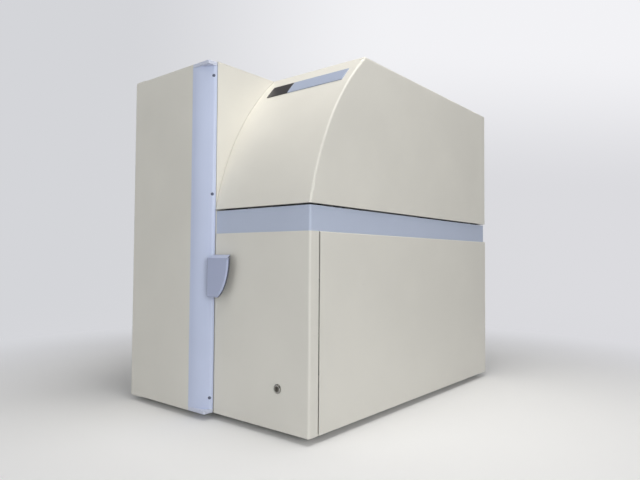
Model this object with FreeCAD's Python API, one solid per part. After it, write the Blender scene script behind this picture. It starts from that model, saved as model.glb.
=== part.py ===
import FreeCAD, Part
import math
import os

from FreeCAD import Vector

# Bench microplate reader: a plate tower with a hinged door on the left, and on the right a measuring
# chamber under a curved light-tight hood, above a lower compartment for the electronics.
# Millimetres, +Z up, the front looks along -Y, the origin is the middle of the footprint at bench level.

# Overall form
BODY_WIDTH = 480.0
TOWER_WIDTH = 244.0
MAIN_DEPTH = 705.0
BODY_HEIGHT = 665.0
DOOR_DEPTH = 21.0
FOOT_HEIGHT = 12.0
LOWER_HEIGHT = 335.0
BELT_HEIGHT = 43.0
HOOD_GAP = 3.0
HOOD_FRONT_RADIUS = 520.0
HOOD_FRONT_RUN = 155.0

# Sheet work and running gaps
SHEET = 2.0
LINER = 1.5
BEND = 4.0
PANEL_GAP = 3.0
DOOR_GAP = 1.5
FIT = 0.3
SHAFT_FIT = 0.05
FLANGE = 20.0
FRONT_RETURN = 23.0
BELT_RECESS = 3.0
BASE_THICK = 3.0
MAIN_INSET = 2.0
CABLE_SLOT = 60.0
CABLE_SLOT_WIDTH = 24.0

# Door
TRIM_WIDTH = 47.0
TRIM_WALL = 3.0
TRIM_SHOULDER_R = 9.0
CAP_HEIGHT = 7.0
DOOR_PIVOT_INSET = 5.2
DOOR_PIVOT_DEPTH = 15.0
HINGE_PIN_R = 2.0
HINGE_PLATE = 2.0
HINGE_PLATE_WIDTH = 34.0
HINGE_PLATE_REACH = 18.0
HINGE_SETBACK = 2.0
PIVOT_BLOCK = 14.0
PIVOT_BLOCK_HEIGHT = 22.0
TRIM_SCREW_R = 3.0
TRIM_SCREW_HEAD = 1.2
TRIM_SCREW_LOW = 28.0
TRIM_SCREW_MIDDLE = 0.6165
TRIM_SCREW_DROP = 28.6
TRIM_SCREW_TURN = 45.0
HANDLE_WIDTH = 56.0
HANDLE_BOTTOM = 217.0
HANDLE_TOP = 289.5
HANDLE_THICK = 6.0
HANDLE_BEVEL = 2.5
HANDLE_OFFSET = 3.5
HANDLE_SEAT = 3.0
HANDLE_CLEAR = 3.0
HANDLE_FLAT = 25.5
HANDLE_FOOT = 18.0
HANDLE_BULGE = 0.52
HANDLE_ROOF_RISE = 6.0
HANDLE_ROOF_WALL = 4.0
HANDLE_ROOF_TAPER = 13.0
GASKET_WIDTH = 8.0
GASKET_THICK = 1.2
MAGNET_HEIGHTS = (190.0, 520.0)

# Hood
HOOD_WALL = 3.0
HOOD_SIDE_GAP = 1.0
HOOD_EDGE_R = 4.0
HOOD_LIP = 12.0
BADGE_LEFT = 27.0
BADGE_WIDTH = 190.0
BADGE_DARK_WIDTH = 56.0
BADGE_THICK = 1.6
BADGE_DROP_ANGLE = 4.05
BADGE_SPAN_ANGLE = 3.7
HOOD_PIVOT_INSET = 9.0
HOOD_PIVOT_DROP = 13.0
HOOD_PIN_R = 3.0
HOOD_BOSS_WALL = 4.0
HOOD_ARM_WIDTH = 16.0
HOOD_ARM_SPREAD = 150.0

# Frame
FOOT_R = 19.0
FOOT_INSET = 44.0
POST = 20.0
POST_WALL = 2.0
DECK_THICK = 3.0
DECK_DROP = 6.0
BULKHEAD_BACK = 215.0

# Plate magazine: slots for plates of the usual footprint
PLATE_LENGTH = 127.76
PLATE_WIDTH = 85.48
PLATE_CLEAR = 1.0
SLOTS = 10
SLOT_PITCH = 22.0
LEDGE = 2.0
LEDGE_REACH = 7.5
MAG_WALL = 6.5
MAG_POST = 11.0
MAG_BASE = 6.0
MAG_CORNER = 2.5
MAG_SETBACK = 130.0
MAG_GAP = 9.0
MAG_HANDLE_HEIGHT = 27.0
MAG_HANDLE_HALF = 9.0

# Lift
LIFT_ROD_R = 8.0
LIFT_ROD_SPREAD = 36.0
LIFT_AXIS_INSET = 35.0
SCREW_R = 6.0
SCREW_JOURNAL_R = 4.0
LIFT_BLOCK = 20.0
LIFT_TABLE = 62.0
CARRIAGE_HEIGHT = 56.0
CARRIAGE_WIDTH = 34.0
CARRIAGE_DEPTH = 100.0
BUSH_WALL = 3.0
PLATFORM = 8.0
MOTOR = 57.0
MOTOR_HEIGHT = 56.0
MOTOR_CORNER = 4.0

# Tray drive
TRAY_RAIL = 12.0
TRAY_RAIL_SPREAD = 40.0
TRAY_BLOCK = 5.7
TRAY_HEAD = 23.0
TRAY_FORK = 3.0
FORK_SIDE_CLEAR = 2.2
FORK_TIP = 4.0
TRAY_END_GAP = 3.0
TRAY_SIDE_CLEAR = 0.62
TRAY_WINDOW_FRONT = 26.0
TRAY_WINDOW_BACK = 18.0
TRAY_SPINE = 10.0
TRAY_SIDE_BAR = 8.0
PULLEY_R = 6.0
PULLEY_RIM = 1.0
PULLEY_ROOM = 0.9
PULLEY_SHAFT_R = 2.5
BELT_WIDTH = 5.0
BELT_THICK = 1.1
CLAMP_LENGTH = 5.0
GEARMOTOR_R = 12.0
GEARMOTOR_HEIGHT = 52.0

# Detector head
HEAD_SUPPORT = 8.0
HEAD_SUPPORT_HEIGHT = 53.0
HEAD_RAIL_HEIGHT = 8.0
HEAD_RAIL_LENGTH = 300.0
HEAD_PLATE = 8.0
HEAD_LENGTH = 100.0
HEAD_BLOCK_HEIGHT = 24.0
TUBE_R = 19.0
TUBE_HOOD_CLEAR = 30.0
TUBE_COLUMNS = 2
TUBE_ROWS = 2
TUBE_PITCH_SHARE = 0.257
TUBE_PITCH_Y = 46.0
HEAD_TRAVEL = 120.0

# Lock on the lower front panel
LOCK_FROM_RIGHT = 69.6
LOCK_UP = 69.8
LOCK_R = 6.5
LOCK_BEZEL_R = 8.0
LOCK_BEZEL = 2.5
LOCK_CORE_R = 4.6
LOCK_DEPTH = 14.0
CAM_LENGTH = 34.0
CAM_WIDTH = 12.0
CAM_THICK = 2.5

# Back
FAN = 92.0
FAN_DEPTH = 25.0
FAN_BORE_R = 43.0
FAN_HUB_R = 18.0
FAN_TIP_CLEAR = 2.0
FAN_BLADES = 7
FAN_PIN_R = 2.5
FAN_CUP = 5.0
FAN_UP = 236.0
GRILLE_SLOT = 5.0
GRILLE_PITCH = 9.0
POCKET_WIDTH = 150.0
POCKET_HEIGHT = 50.0
POCKET_DEPTH = 14.0
POCKET_UP = 60.0
INLET_WIDTH = 48.0
INLET_HEIGHT = 28.0
INLET_DEPTH = 26.0
INLET_WALL = 3.0
ROCKER_WIDTH = 13.0
ROCKER_HEIGHT = 21.0
ROCKER_TILT = 7.0
ROCKER_PIN_R = 1.5
ROCKER_PIVOT_DEPTH = 6.0
PORT_WIDTH = 31.0
PORT_HEIGHT = 12.0

# Electronics in the lower compartment
SUPPLY_WIDTH = 110.0
SUPPLY_DEPTH = 190.0
SUPPLY_HEIGHT = 86.0
BOARD_LENGTH = 320.0
BOARD_HEIGHT = 220.0
BOARD_THICK = 2.0
STANDOFF = 10.0
STANDOFF_HALF = 3.5

# Planes that the parts share
X_LEFT = -BODY_WIDTH / 2
X_RIGHT = BODY_WIDTH / 2
X_SPLIT = X_LEFT + TOWER_WIDTH
Y_BACK = (MAIN_DEPTH + DOOR_DEPTH) / 2
Y_FRONT = Y_BACK - MAIN_DEPTH
Y_DOOR = Y_FRONT - DOOR_DEPTH
Y_TOWER = Y_FRONT + DOOR_GAP
Z_BASE = FOOT_HEIGHT
Z_TOP = Z_BASE + BODY_HEIGHT
Z_FLOOR = Z_BASE + BASE_THICK
Z_BELT = Z_BASE + LOWER_HEIGHT
Z_BELT_TOP = Z_BELT + BELT_HEIGHT
Z_HOOD = Z_BELT_TOP + HOOD_GAP
Z_DECK = Z_HOOD - DECK_DROP
DECK_LEFT = X_SPLIT
DECK_RIGHT = X_RIGHT - BELT_RECESS - SHEET
CHAMBER_LEFT = X_SPLIT + HOOD_SIDE_GAP + HOOD_WALL + 1.0
CHAMBER_RIGHT = X_RIGHT - HOOD_LIP - 1.0
CHAMBER_X = (CHAMBER_LEFT + CHAMBER_RIGHT) / 2
TOWER_INSIDE_RIGHT = X_SPLIT - SHEET

# Door planes
DOOR_BOTTOM = Z_BASE + FIT
DOOR_TOP = Z_TOP - HINGE_PLATE - FIT
TRIM_LEFT = X_SPLIT - TRIM_WIDTH
PIVOT_X = X_LEFT + DOOR_PIVOT_INSET
PIVOT_Y = Y_FRONT - DOOR_PIVOT_DEPTH

# Hood pivot
HOOD_PIVOT_Y = Y_BACK - HOOD_PIVOT_INSET
HOOD_PIVOT_Z = Z_HOOD - HOOD_PIVOT_DROP

# Transfer level, and the magazine at rest with its top slot at that level
FORK_TOP = Z_DECK + TRAY_RAIL + FIT + TRAY_BLOCK + TRAY_FORK
TRANSFER_LEDGE = FORK_TOP - PLATE_CLEAR
MAG_Y = Y_FRONT + MAG_SETBACK
MAG_RIGHT = TOWER_INSIDE_RIGHT - MAG_GAP + LEDGE
MAG_LENGTH = PLATE_LENGTH + 2 * (MAG_POST - LEDGE_REACH + PLATE_CLEAR)
MAG_LEFT = MAG_RIGHT - MAG_LENGTH
MAG_X = (MAG_LEFT + MAG_RIGHT) / 2
MAG_INSIDE = PLATE_WIDTH / 2 + PLATE_CLEAR
MAG_HALF = MAG_INSIDE + MAG_WALL
FIRST_LEDGE = TRANSFER_LEDGE - (SLOTS - 1) * SLOT_PITCH
MAG_BOTTOM = FIRST_LEDGE - LEDGE - MAG_BASE
MAG_TOP = TRANSFER_LEDGE + SLOT_PITCH - LEDGE
LIFT_TRAVEL = (SLOTS - 1) * SLOT_PITCH
TRAY_HOME = CHAMBER_RIGHT - TRAY_SIDE_CLEAR
TRAY_TRAVEL = TRAY_HOME - TRAY_HEAD - TRAY_END_GAP - CHAMBER_LEFT
PLATE_HOME = MAG_X + TRAY_TRAVEL
TUBE_PITCH_X = TUBE_PITCH_SHARE * (CHAMBER_RIGHT - CHAMBER_LEFT)
LIFT_X = X_LEFT + LIFT_AXIS_INSET

parts = {}


def box(x0, x1, y0, y1, z0, z1):
    """A block between two opposite corners."""
    return Part.makeBox(x1 - x0, y1 - y0, z1 - z0, Vector(x0, y0, z0))


def rod(radius, start, end):
    """A round bar from one point to another."""
    run = Vector(*end) - Vector(*start)
    return Part.makeCylinder(radius, run.Length, Vector(*start), run)


def fuse(shapes):
    """One solid from pieces that meet."""
    joined = shapes[0].multiFuse(shapes[1:])
    return joined.removeSplitter()


def group(shapes):
    """Several separate solids in one part."""
    return Part.makeCompound(shapes)


def face_of(points):
    """A flat face from a closed outline of points."""
    corners = [Vector(*p) for p in points]
    return Part.Face(Part.makePolygon(corners + [corners[0]]))


def edges_along(shape, axis, test):
    """The straight edges that run along an axis and whose middle passes the test."""
    found = []
    for edge in shape.Edges:
        if len(edge.Vertexes) != 2:
            continue
        run = edge.Vertexes[1].Point - edge.Vertexes[0].Point
        if run.Length > 0 and abs(abs(run.dot(axis)) - run.Length) < 1e-6:
            if test(edge.CenterOfMass):
                found.append(edge)
    return found


def near(value, target):
    """Whether two places are the same."""
    return abs(value - target) < 1e-3


def base_plate():
    """Base plate with a row of air slots beside the power supply and the keeper of the lock's cam."""
    plate = box(X_LEFT + SHEET, X_RIGHT - SHEET, Y_FRONT + SHEET, Y_BACK - SHEET, Z_BASE, Z_FLOOR)
    slot_length = 60.0
    slot_width = 5.0
    slot_pitch = 14.0
    slots = 8
    cuts = []
    for row in range(slots):
        y = Y_BACK - SUPPLY_DEPTH - POST - (row + 1) * slot_pitch
        cuts.append(box(CHAMBER_X, CHAMBER_X + slot_length, y, y + slot_width, Z_BASE - 1, Z_FLOOR + 1))
    keeper_y = Y_FRONT + LOCK_DEPTH
    keeper_half = 30.0
    keeper_high = lock_z() - CAM_LENGTH / 2
    keeper = box(lock_x() - keeper_half, lock_x() + keeper_half, keeper_y - SHEET, keeper_y, Z_BASE,
                 keeper_high)
    return fuse([plate.cut(Part.makeCompound(cuts)), keeper])


def foot_places():
    """The middles of the four feet."""
    places = []
    for x in (X_LEFT + FOOT_INSET, X_RIGHT - FOOT_INSET):
        for y in (Y_FRONT + FOOT_INSET, Y_BACK - FOOT_INSET):
            places.append((x, y))
    return places


def feet():
    """Four tapered rubber feet."""
    taper = 3.0
    made = []
    for x, y in foot_places():
        made.append(Part.makeCone(FOOT_R - taper, FOOT_R, FOOT_HEIGHT, Vector(x, y, 0)))
    return group(made)


def tower_left_panel():
    """Left side of the tower: a pan with its front and back edges folded in."""
    outer = box(X_LEFT, X_LEFT + FLANGE, Y_TOWER, Y_BACK, Z_BASE, Z_TOP - SHEET)
    outer = outer.makeFillet(BEND, edges_along(outer, Vector(0, 0, 1), lambda c: near(c.x, X_LEFT)))
    inner = box(X_LEFT + SHEET, X_LEFT + FLANGE + 1, Y_TOWER + SHEET, Y_BACK - SHEET, Z_BASE - 1, Z_TOP)
    floor = box(X_LEFT + SHEET, X_LEFT + FLANGE + 1, Y_TOWER - 1, Y_BACK + 1, Z_BASE - 1, Z_FLOOR)
    return outer.cut(inner).cut(floor)


def tower_top_panel():
    """Top of the tower, notched at its front corner for the upper door hinge plate."""
    top = box(X_LEFT, X_SPLIT, Y_TOWER, Y_BACK, Z_TOP - SHEET, Z_TOP)
    top = top.makeFillet(BEND, edges_along(top, Vector(0, 0, 1), lambda c: near(c.x, X_LEFT) and c.y > 0))
    notch = box(X_LEFT - 1, X_LEFT + SHEET + HINGE_PLATE_WIDTH, Y_TOWER - 1, Y_TOWER + HINGE_PLATE_REACH,
                Z_TOP - SHEET - 1, Z_TOP + 1)
    return top.cut(notch)


def gate_low():
    """Lower edge of the plate gate between tower and chamber."""
    return FORK_TOP - TRAY_FORK - TRAY_BLOCK


def gate_high():
    """Upper edge of the plate gate."""
    return FORK_TOP + SLOT_PITCH - LEDGE


def tower_right_wall():
    """Wall between tower and chamber, full height, with the gate that plates pass through."""
    wall = box(TOWER_INSIDE_RIGHT, X_SPLIT, Y_TOWER, Y_BACK - SHEET, Z_FLOOR, Z_TOP - SHEET)
    gate = box(TOWER_INSIDE_RIGHT - 1, X_SPLIT + 1, MAG_Y - MAG_HALF, MAG_Y + MAG_HALF, gate_low(),
               gate_high())
    gate_r = 4.0
    gate = gate.makeFillet(gate_r, edges_along(gate, Vector(1, 0, 0), lambda c: True))
    return wall.cut(gate)


def tower_bulkhead():
    """Wall that closes the loading bay behind the lift."""
    y = Y_FRONT + BULKHEAD_BACK
    return box(X_LEFT + SHEET, TOWER_INSIDE_RIGHT, y, y + SHEET, Z_FLOOR, Z_TOP - SHEET)


def lower_front_panel():
    """Lower front panel: a pan whose right side folds round the corner, with the lock's hole."""
    left = X_SPLIT + MAIN_INSET
    outer = box(left, X_RIGHT, Y_FRONT, Y_FRONT + FRONT_RETURN, Z_BASE, Z_BELT)
    corner = edges_along(outer, Vector(0, 0, 1), lambda c: near(c.x, X_RIGHT) and near(c.y, Y_FRONT))
    outer = outer.makeFillet(BEND, corner)
    inner = box(left - 1, X_RIGHT - SHEET, Y_FRONT + SHEET, Y_FRONT + FRONT_RETURN + 1, Z_FLOOR,
                Z_BELT - SHEET)
    floor_notch = box(left - 1, X_RIGHT - SHEET, Y_FRONT + SHEET, Y_FRONT + FRONT_RETURN + 1, Z_BASE - 1,
                      Z_FLOOR)
    hole = rod(LOCK_R, (lock_x(), Y_FRONT - 1, lock_z()), (lock_x(), Y_FRONT + SHEET + 1, lock_z()))
    return outer.cut(inner).cut(floor_notch).cut(hole)


def lower_side_panel():
    """Lower right side panel with its top edge folded in over the frame."""
    front = Y_FRONT + FRONT_RETURN + PANEL_GAP
    outer = box(X_RIGHT - FLANGE, X_RIGHT, front, Y_BACK, Z_BASE, Z_BELT)
    rim = 1.6
    upper = edges_along(outer, Vector(0, 1, 0), lambda c: near(c.x, X_RIGHT) and c.z > Z_FLOOR)
    outer = outer.makeFillet(rim, upper)
    folded = X_RIGHT - FLANGE
    inner = box(folded - 1, X_RIGHT - SHEET, front - 1, Y_BACK + 1, Z_BASE - 1, Z_BELT - SHEET)
    back = box(folded - 1, X_RIGHT - SHEET, Y_BACK - SHEET, Y_BACK + 1, Z_BELT - SHEET - 1, Z_BELT + 1)
    return outer.cut(inner).cut(back)


def blue_belt():
    """Recessed belt between the lower panels and the hood, folded round three sides."""
    left = X_SPLIT
    right = X_RIGHT - BELT_RECESS
    front = Y_FRONT + BELT_RECESS
    back = Y_BACK - BELT_RECESS
    outer = box(left, right, front, back, Z_BELT, Z_BELT_TOP)
    outer = outer.makeFillet(BEND, edges_along(outer, Vector(0, 0, 1), lambda c: near(c.x, right)))
    inner = box(left - 1, right - SHEET, front + SHEET, back - SHEET, Z_BELT - 1, Z_BELT_TOP + 1)
    belt = outer.cut(inner)
    for x in hood_arm_places():
        notch_half = HOOD_ARM_WIDTH / 2 + PANEL_GAP
        belt = belt.cut(box(x - notch_half, x + notch_half, back - SHEET - 1, back + 1,
                            HOOD_PIVOT_Z - HOOD_PIVOT_DROP, Z_BELT_TOP + 1))
    return belt


def deck_plate():
    """Deck of the measuring chamber, with the drive pulley's shaft hole and a cable opening."""
    front = Y_FRONT + BELT_RECESS + SHEET
    back = HOOD_PIVOT_Y - HOOD_PIVOT_DROP
    deck = box(DECK_LEFT, DECK_RIGHT, front, back, Z_DECK - DECK_THICK, Z_DECK)
    inside_bend = BEND - SHEET
    corner = edges_along(deck, Vector(0, 0, 1), lambda c: near(c.x, DECK_RIGHT) and near(c.y, front))
    deck = deck.makeFillet(inside_bend, corner)
    px, py = pulley_places()[0]
    shaft_hole = PULLEY_SHAFT_R + 1.5
    deck = deck.cut(Part.makeCylinder(shaft_hole, DECK_THICK + 2, Vector(px, py, Z_DECK - DECK_THICK - 1)))
    y = Y_BACK - SUPPLY_DEPTH
    return deck.cut(box(CHAMBER_X - CABLE_SLOT / 2, CHAMBER_X + CABLE_SLOT / 2, y, y + CABLE_SLOT_WIDTH,
                        Z_DECK - DECK_THICK - 1, Z_DECK + 1))


def frame_posts():
    """Square tubes that carry the deck from the base plate."""
    inset = 4.0
    made = []
    for x in (DECK_LEFT, X_RIGHT - SHEET - FLANGE - POST):
        for y in (Y_FRONT + FRONT_RETURN + PANEL_GAP + inset, Y_BACK - FAN_DEPTH - SHEET - POST - inset):
            tube = box(x, x + POST, y, y + POST, Z_FLOOR, Z_DECK - DECK_THICK)
            bore = box(x + POST_WALL, x + POST - POST_WALL, y + POST_WALL, y + POST - POST_WALL, Z_FLOOR - 1,
                       Z_DECK)
            made.append(tube.cut(bore))
    return group(made)


def fan_place():
    """Middle of the fan on the back panel."""
    return (CHAMBER_X, Z_BASE + FAN_UP)


def pocket_low():
    """Lower edge of the connector pocket in the back panel."""
    return Z_BASE + POCKET_UP


def back_panel():
    """Back panel of tower and main body, with the fan grille and the connector pocket's window."""
    inner_left = X_LEFT + FLANGE
    tower = box(inner_left, X_SPLIT, Y_BACK - SHEET, Y_BACK, Z_FLOOR, Z_TOP - SHEET)
    main = box(X_SPLIT, X_RIGHT - SHEET, Y_BACK - SHEET, Y_BACK, Z_FLOOR, Z_BELT)
    panel = fuse([tower, main])
    fx, fz = fan_place()
    rows = int(FAN_BORE_R / GRILLE_PITCH)
    cuts = []
    for row in range(-rows, rows + 1):
        height = row * GRILLE_PITCH
        half = math.sqrt(FAN_BORE_R ** 2 - height ** 2) - GRILLE_SLOT
        slot = box(fx - half, fx + half, Y_BACK - SHEET - 1, Y_BACK + 1, fz + height - GRILLE_SLOT / 2,
                   fz + height + GRILLE_SLOT / 2)
        cuts.append(slot)
    cuts.append(box(CHAMBER_X - POCKET_WIDTH / 2, CHAMBER_X + POCKET_WIDTH / 2, Y_BACK - SHEET - 1,
                    Y_BACK + 1, pocket_low(), pocket_low() + POCKET_HEIGHT))
    vents = 9
    vent_half = 70.0
    vent_pitch = 12.0
    tower_x = (inner_left + X_SPLIT) / 2
    for row in range(vents):
        z = Z_BASE + FAN_UP + row * vent_pitch
        cuts.append(box(tower_x - vent_half, tower_x + vent_half, Y_BACK - SHEET - 1, Y_BACK + 1, z,
                        z + GRILLE_SLOT))
    return panel.cut(Part.makeCompound(cuts))


def connector_pocket():
    """Recessed pan that holds the mains inlet, switch and data ports inside the back face."""
    x0 = CHAMBER_X - POCKET_WIDTH / 2
    x1 = CHAMBER_X + POCKET_WIDTH / 2
    z0 = pocket_low()
    z1 = z0 + POCKET_HEIGHT
    flange = 8.0
    rear = Y_BACK - SHEET
    front = Y_BACK - POCKET_DEPTH
    flange_plate = box(x0 - flange, x1 + flange, rear - LINER, rear, z0 - flange, z1 + flange)
    tub = box(x0 - LINER, x1 + LINER, front - LINER, rear, z0 - LINER, z1 + LINER)
    pan = fuse([flange_plate, tub]).cut(box(x0, x1, front, Y_BACK, z0, z1))
    ix, iz = inlet_place()
    pan = pan.cut(box(ix - INLET_WIDTH / 2, ix + INLET_WIDTH / 2, front - LINER - 1, front + 1,
                      iz - INLET_HEIGHT / 2, iz + INLET_HEIGHT / 2))
    for px, pz in port_places():
        pan = pan.cut(box(px - PORT_WIDTH / 2, px + PORT_WIDTH / 2, front - LINER - 1, front + 1,
                          pz - PORT_HEIGHT / 2, pz + PORT_HEIGHT / 2))
    return pan


def inlet_place():
    """Middle of the mains inlet and switch module."""
    return (CHAMBER_X - POCKET_WIDTH / 2 + INLET_WIDTH / 2 + FLANGE / 2, pocket_low() + POCKET_HEIGHT / 2)


def port_places():
    """Middles of the two data ports."""
    gap = 12.0
    x = CHAMBER_X + PORT_WIDTH / 2
    return [(x, pocket_low() + POCKET_HEIGHT / 2), (x + PORT_WIDTH + gap, pocket_low() + POCKET_HEIGHT / 2)]


def rocker_place():
    """Middle of the mains switch rocker, beside the inlet socket."""
    ix, iz = inlet_place()
    return (ix + INLET_WIDTH / 2 - ROCKER_WIDTH / 2 - INLET_WALL, iz)


def inlet_face():
    """Outer face of the mains inlet, in the back panel's pocket."""
    proud = 3.0
    return Y_BACK - POCKET_DEPTH + proud


def rocker_pivot_y():
    """Depth of the rocker's trunnion."""
    return inlet_face() - ROCKER_PIVOT_DEPTH


def mains_inlet():
    """Mains inlet module: a socket with three blades, and the frame of the rocker switch."""
    ix, iz = inlet_place()
    face = inlet_face()
    body = box(ix - INLET_WIDTH / 2, ix + INLET_WIDTH / 2, face - INLET_DEPTH, face, iz - INLET_HEIGHT / 2,
               iz + INLET_HEIGHT / 2)
    socket_half = (9.5, 11.0)
    socket_depth = 16.0
    sx = ix - INLET_WIDTH / 2 + INLET_WALL + socket_half[0]
    socket = box(sx - socket_half[0], sx + socket_half[0], face - socket_depth, face + 1, iz - socket_half[1],
                 iz + socket_half[1])
    chamfer = 5.0
    socket = socket.makeChamfer(chamfer, edges_along(socket, Vector(0, 1, 0), lambda c: c.z > iz))
    body = body.cut(socket)
    rx, rz = rocker_place()
    swing = FIT + 1.0
    well = box(rx - ROCKER_WIDTH / 2 - FIT, rx + ROCKER_WIDTH / 2 + FIT, face - socket_depth, face + 1,
               rz - ROCKER_HEIGHT / 2 - swing, rz + ROCKER_HEIGHT / 2 + swing)
    body = body.cut(well)
    blades = []
    blade = (1.0, 3.0)
    blade_sunk = 4.0
    apart = 5.0
    drop = 3.0
    earth_rise = 4.0
    for dx, dz in ((-apart, -drop), (apart, -drop), (0.0, earth_rise)):
        blades.append(box(sx + dx - blade[0], sx + dx + blade[0], face - socket_depth, face - blade_sunk,
                          iz + dz - blade[1], iz + dz + blade[1]))
    reach = ROCKER_WIDTH / 2 + FIT
    pivot_y = rocker_pivot_y()
    trunnion = rod(ROCKER_PIN_R, (rx - reach, pivot_y, rz), (rx + reach, pivot_y, rz))
    return fuse([body] + blades + [trunnion])


def power_rocker():
    """Rocker of the mains switch, tipped about its trunnion."""
    rx, rz = rocker_place()
    face = inlet_face()
    pivot_y = rocker_pivot_y()
    half = ROCKER_HEIGHT / 2
    root_half = 4.0
    root_depth = 5.0
    proud = 2.6
    dish = 1.2
    outline = [(0, pivot_y - root_depth, rz - root_half), (0, face, rz - half), (0, face + proud, rz - half),
               (0, face + proud - dish, rz), (0, face + proud, rz + half), (0, face, rz + half),
               (0, pivot_y - root_depth, rz + root_half)]
    solid = face_of(outline).extrude(Vector(ROCKER_WIDTH, 0, 0))
    solid.translate(Vector(rx - ROCKER_WIDTH / 2, 0, 0))
    bore = rod(ROCKER_PIN_R + SHAFT_FIT, (rx - ROCKER_WIDTH, pivot_y, rz), (rx + ROCKER_WIDTH, pivot_y, rz))
    rocker = solid.cut(bore)
    rocker.rotate(Vector(rx, pivot_y, rz), Vector(1, 0, 0), ROCKER_TILT)
    return rocker


def data_ports():
    """Two D-shaped data connectors."""
    rear = Y_BACK - POCKET_DEPTH
    seat = rear + 1.0
    body_depth = 8.0
    shell_long = 9.0
    shell_short = 7.8
    shell_half = 4.2
    shell_proud = 5.0
    bore_scale = 0.86
    made = []
    for px, pz in port_places():
        flange = box(px - PORT_WIDTH / 2, px + PORT_WIDTH / 2, rear - LINER - body_depth, seat,
                     pz - PORT_HEIGHT / 2, pz + PORT_HEIGHT / 2)
        corners = [(-shell_long, shell_half), (shell_long, shell_half), (shell_short, -shell_half),
                   (-shell_short, -shell_half)]
        shell = face_of([(px + x, seat, pz + z) for x, z in corners]).extrude(Vector(0, shell_proud, 0))
        inside = [(px + x * bore_scale, seat + 1.0, pz + z * bore_scale) for x, z in corners]
        hollow = face_of(inside).extrude(Vector(0, shell_proud, 0))
        made.append(fuse([flange, shell]).cut(hollow))
    return group(made)


def fan_housing():
    """Square fan frame with a round duct and three struts that hold the motor cup."""
    fx, fz = fan_place()
    struts = 3
    pin_sunk = 4.0
    rear = Y_BACK - SHEET
    frame = box(fx - FAN / 2, fx + FAN / 2, rear - FAN_DEPTH, rear, fz - FAN / 2, fz + FAN / 2)
    corner_r = 5.0
    frame = frame.makeFillet(corner_r, edges_along(frame, Vector(0, 1, 0), lambda c: True))
    frame = frame.cut(rod(FAN_BORE_R, (fx, rear - FAN_DEPTH - 1, fz), (fx, rear + 1, fz)))
    front = rear - FAN_DEPTH
    cup = front + FAN_CUP
    pieces = [frame, rod(FAN_HUB_R, (fx, front, fz), (fx, cup, fz))]
    strut = 5.0
    for turn in range(struts):
        arm = box(fx, fx + FAN_BORE_R + 2, front, cup, fz - strut / 2, fz + strut / 2)
        arm.rotate(Vector(fx, 0, fz), Vector(0, 1, 0), 90 + turn * 360 / struts)
        pieces.append(arm.common(rod(FAN_BORE_R + 1, (fx, front, fz), (fx, cup, fz))))
    pin = rod(FAN_PIN_R, (fx, cup, fz), (fx, rear - pin_sunk, fz))
    return fuse(pieces + [pin])


def fan_rotor():
    """Fan hub with swept blades on the motor's pin."""
    fx, fz = fan_place()
    end_clear = 1.0
    bore_end = 1.5
    front = Y_BACK - SHEET - FAN_DEPTH + FAN_CUP + end_clear
    rear = Y_BACK - SHEET - 2 * end_clear
    hub = rod(FAN_HUB_R, (fx, front, fz), (fx, rear, fz))
    blade_thick = 2.0
    tip = FAN_BORE_R - FAN_TIP_CLEAR
    pitch_angle = 38.0
    chord = 20.0
    pieces = [hub]
    for turn in range(FAN_BLADES):
        blade = Part.makeBox(tip + 4, chord, blade_thick, Vector(0, -chord / 2, -blade_thick / 2))
        blade.rotate(Vector(0, 0, 0), Vector(1, 0, 0), pitch_angle)
        blade.translate(Vector(fx, (front + rear) / 2, fz))
        blade.rotate(Vector(fx, 0, fz), Vector(0, 1, 0), turn * 360.0 / FAN_BLADES)
        pieces.append(blade)
    envelope = rod(tip, (fx, front, fz), (fx, rear, fz))
    rotor = fuse(pieces).common(envelope)
    return rotor.cut(rod(FAN_PIN_R + SHAFT_FIT, (fx, front - 1, fz), (fx, rear - bore_end, fz)))


def hinge_plates():
    """Upper and lower door hinge plates, each with its fixed pin."""
    x0 = X_LEFT
    x1 = X_LEFT + SHEET + HINGE_PLATE_WIDTH - FIT
    front = Y_DOOR + HINGE_SETBACK
    rear = Y_TOWER + HINGE_PLATE_REACH - FIT
    tip_r = 3.5
    made = []
    upper = box(x0, x1, front, rear, Z_TOP - HINGE_PLATE, Z_TOP)
    lower = box(x0, x1, front, rear, Z_BASE - HINGE_PLATE, Z_BASE)
    for plate, pin in ((upper, rod(HINGE_PIN_R, (PIVOT_X, PIVOT_Y, DOOR_TOP - PIVOT_BLOCK_HEIGHT),
                                   (PIVOT_X, PIVOT_Y, Z_TOP))),
                       (lower, rod(HINGE_PIN_R, (PIVOT_X, PIVOT_Y, Z_BASE - HINGE_PLATE),
                                   (PIVOT_X, PIVOT_Y, DOOR_BOTTOM + PIVOT_BLOCK_HEIGHT)))):
        rounded = plate.makeFillet(tip_r, edges_along(plate, Vector(0, 0, 1), lambda c: near(c.y, front)))
        made.append(fuse([rounded, pin]))
    return group(made)


def door_panel():
    """Door front: a deep pan with its left, top and bottom edges folded back."""
    outer = box(X_LEFT, TRIM_LEFT, Y_DOOR, Y_FRONT, DOOR_BOTTOM, DOOR_TOP)
    corner = edges_along(outer, Vector(0, 0, 1), lambda c: near(c.x, X_LEFT) and near(c.y, Y_DOOR))
    outer = outer.makeFillet(BEND, corner)
    inner = box(X_LEFT + SHEET, TRIM_LEFT + 1, Y_DOOR + SHEET, Y_FRONT + 1, DOOR_BOTTOM + SHEET,
                DOOR_TOP - SHEET)
    pan = outer.cut(inner)
    hole = rod(HINGE_PIN_R + 1.0, (PIVOT_X, PIVOT_Y, DOOR_BOTTOM - 1), (PIVOT_X, PIVOT_Y, DOOR_TOP + 1))
    return pan.cut(hole)


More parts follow.
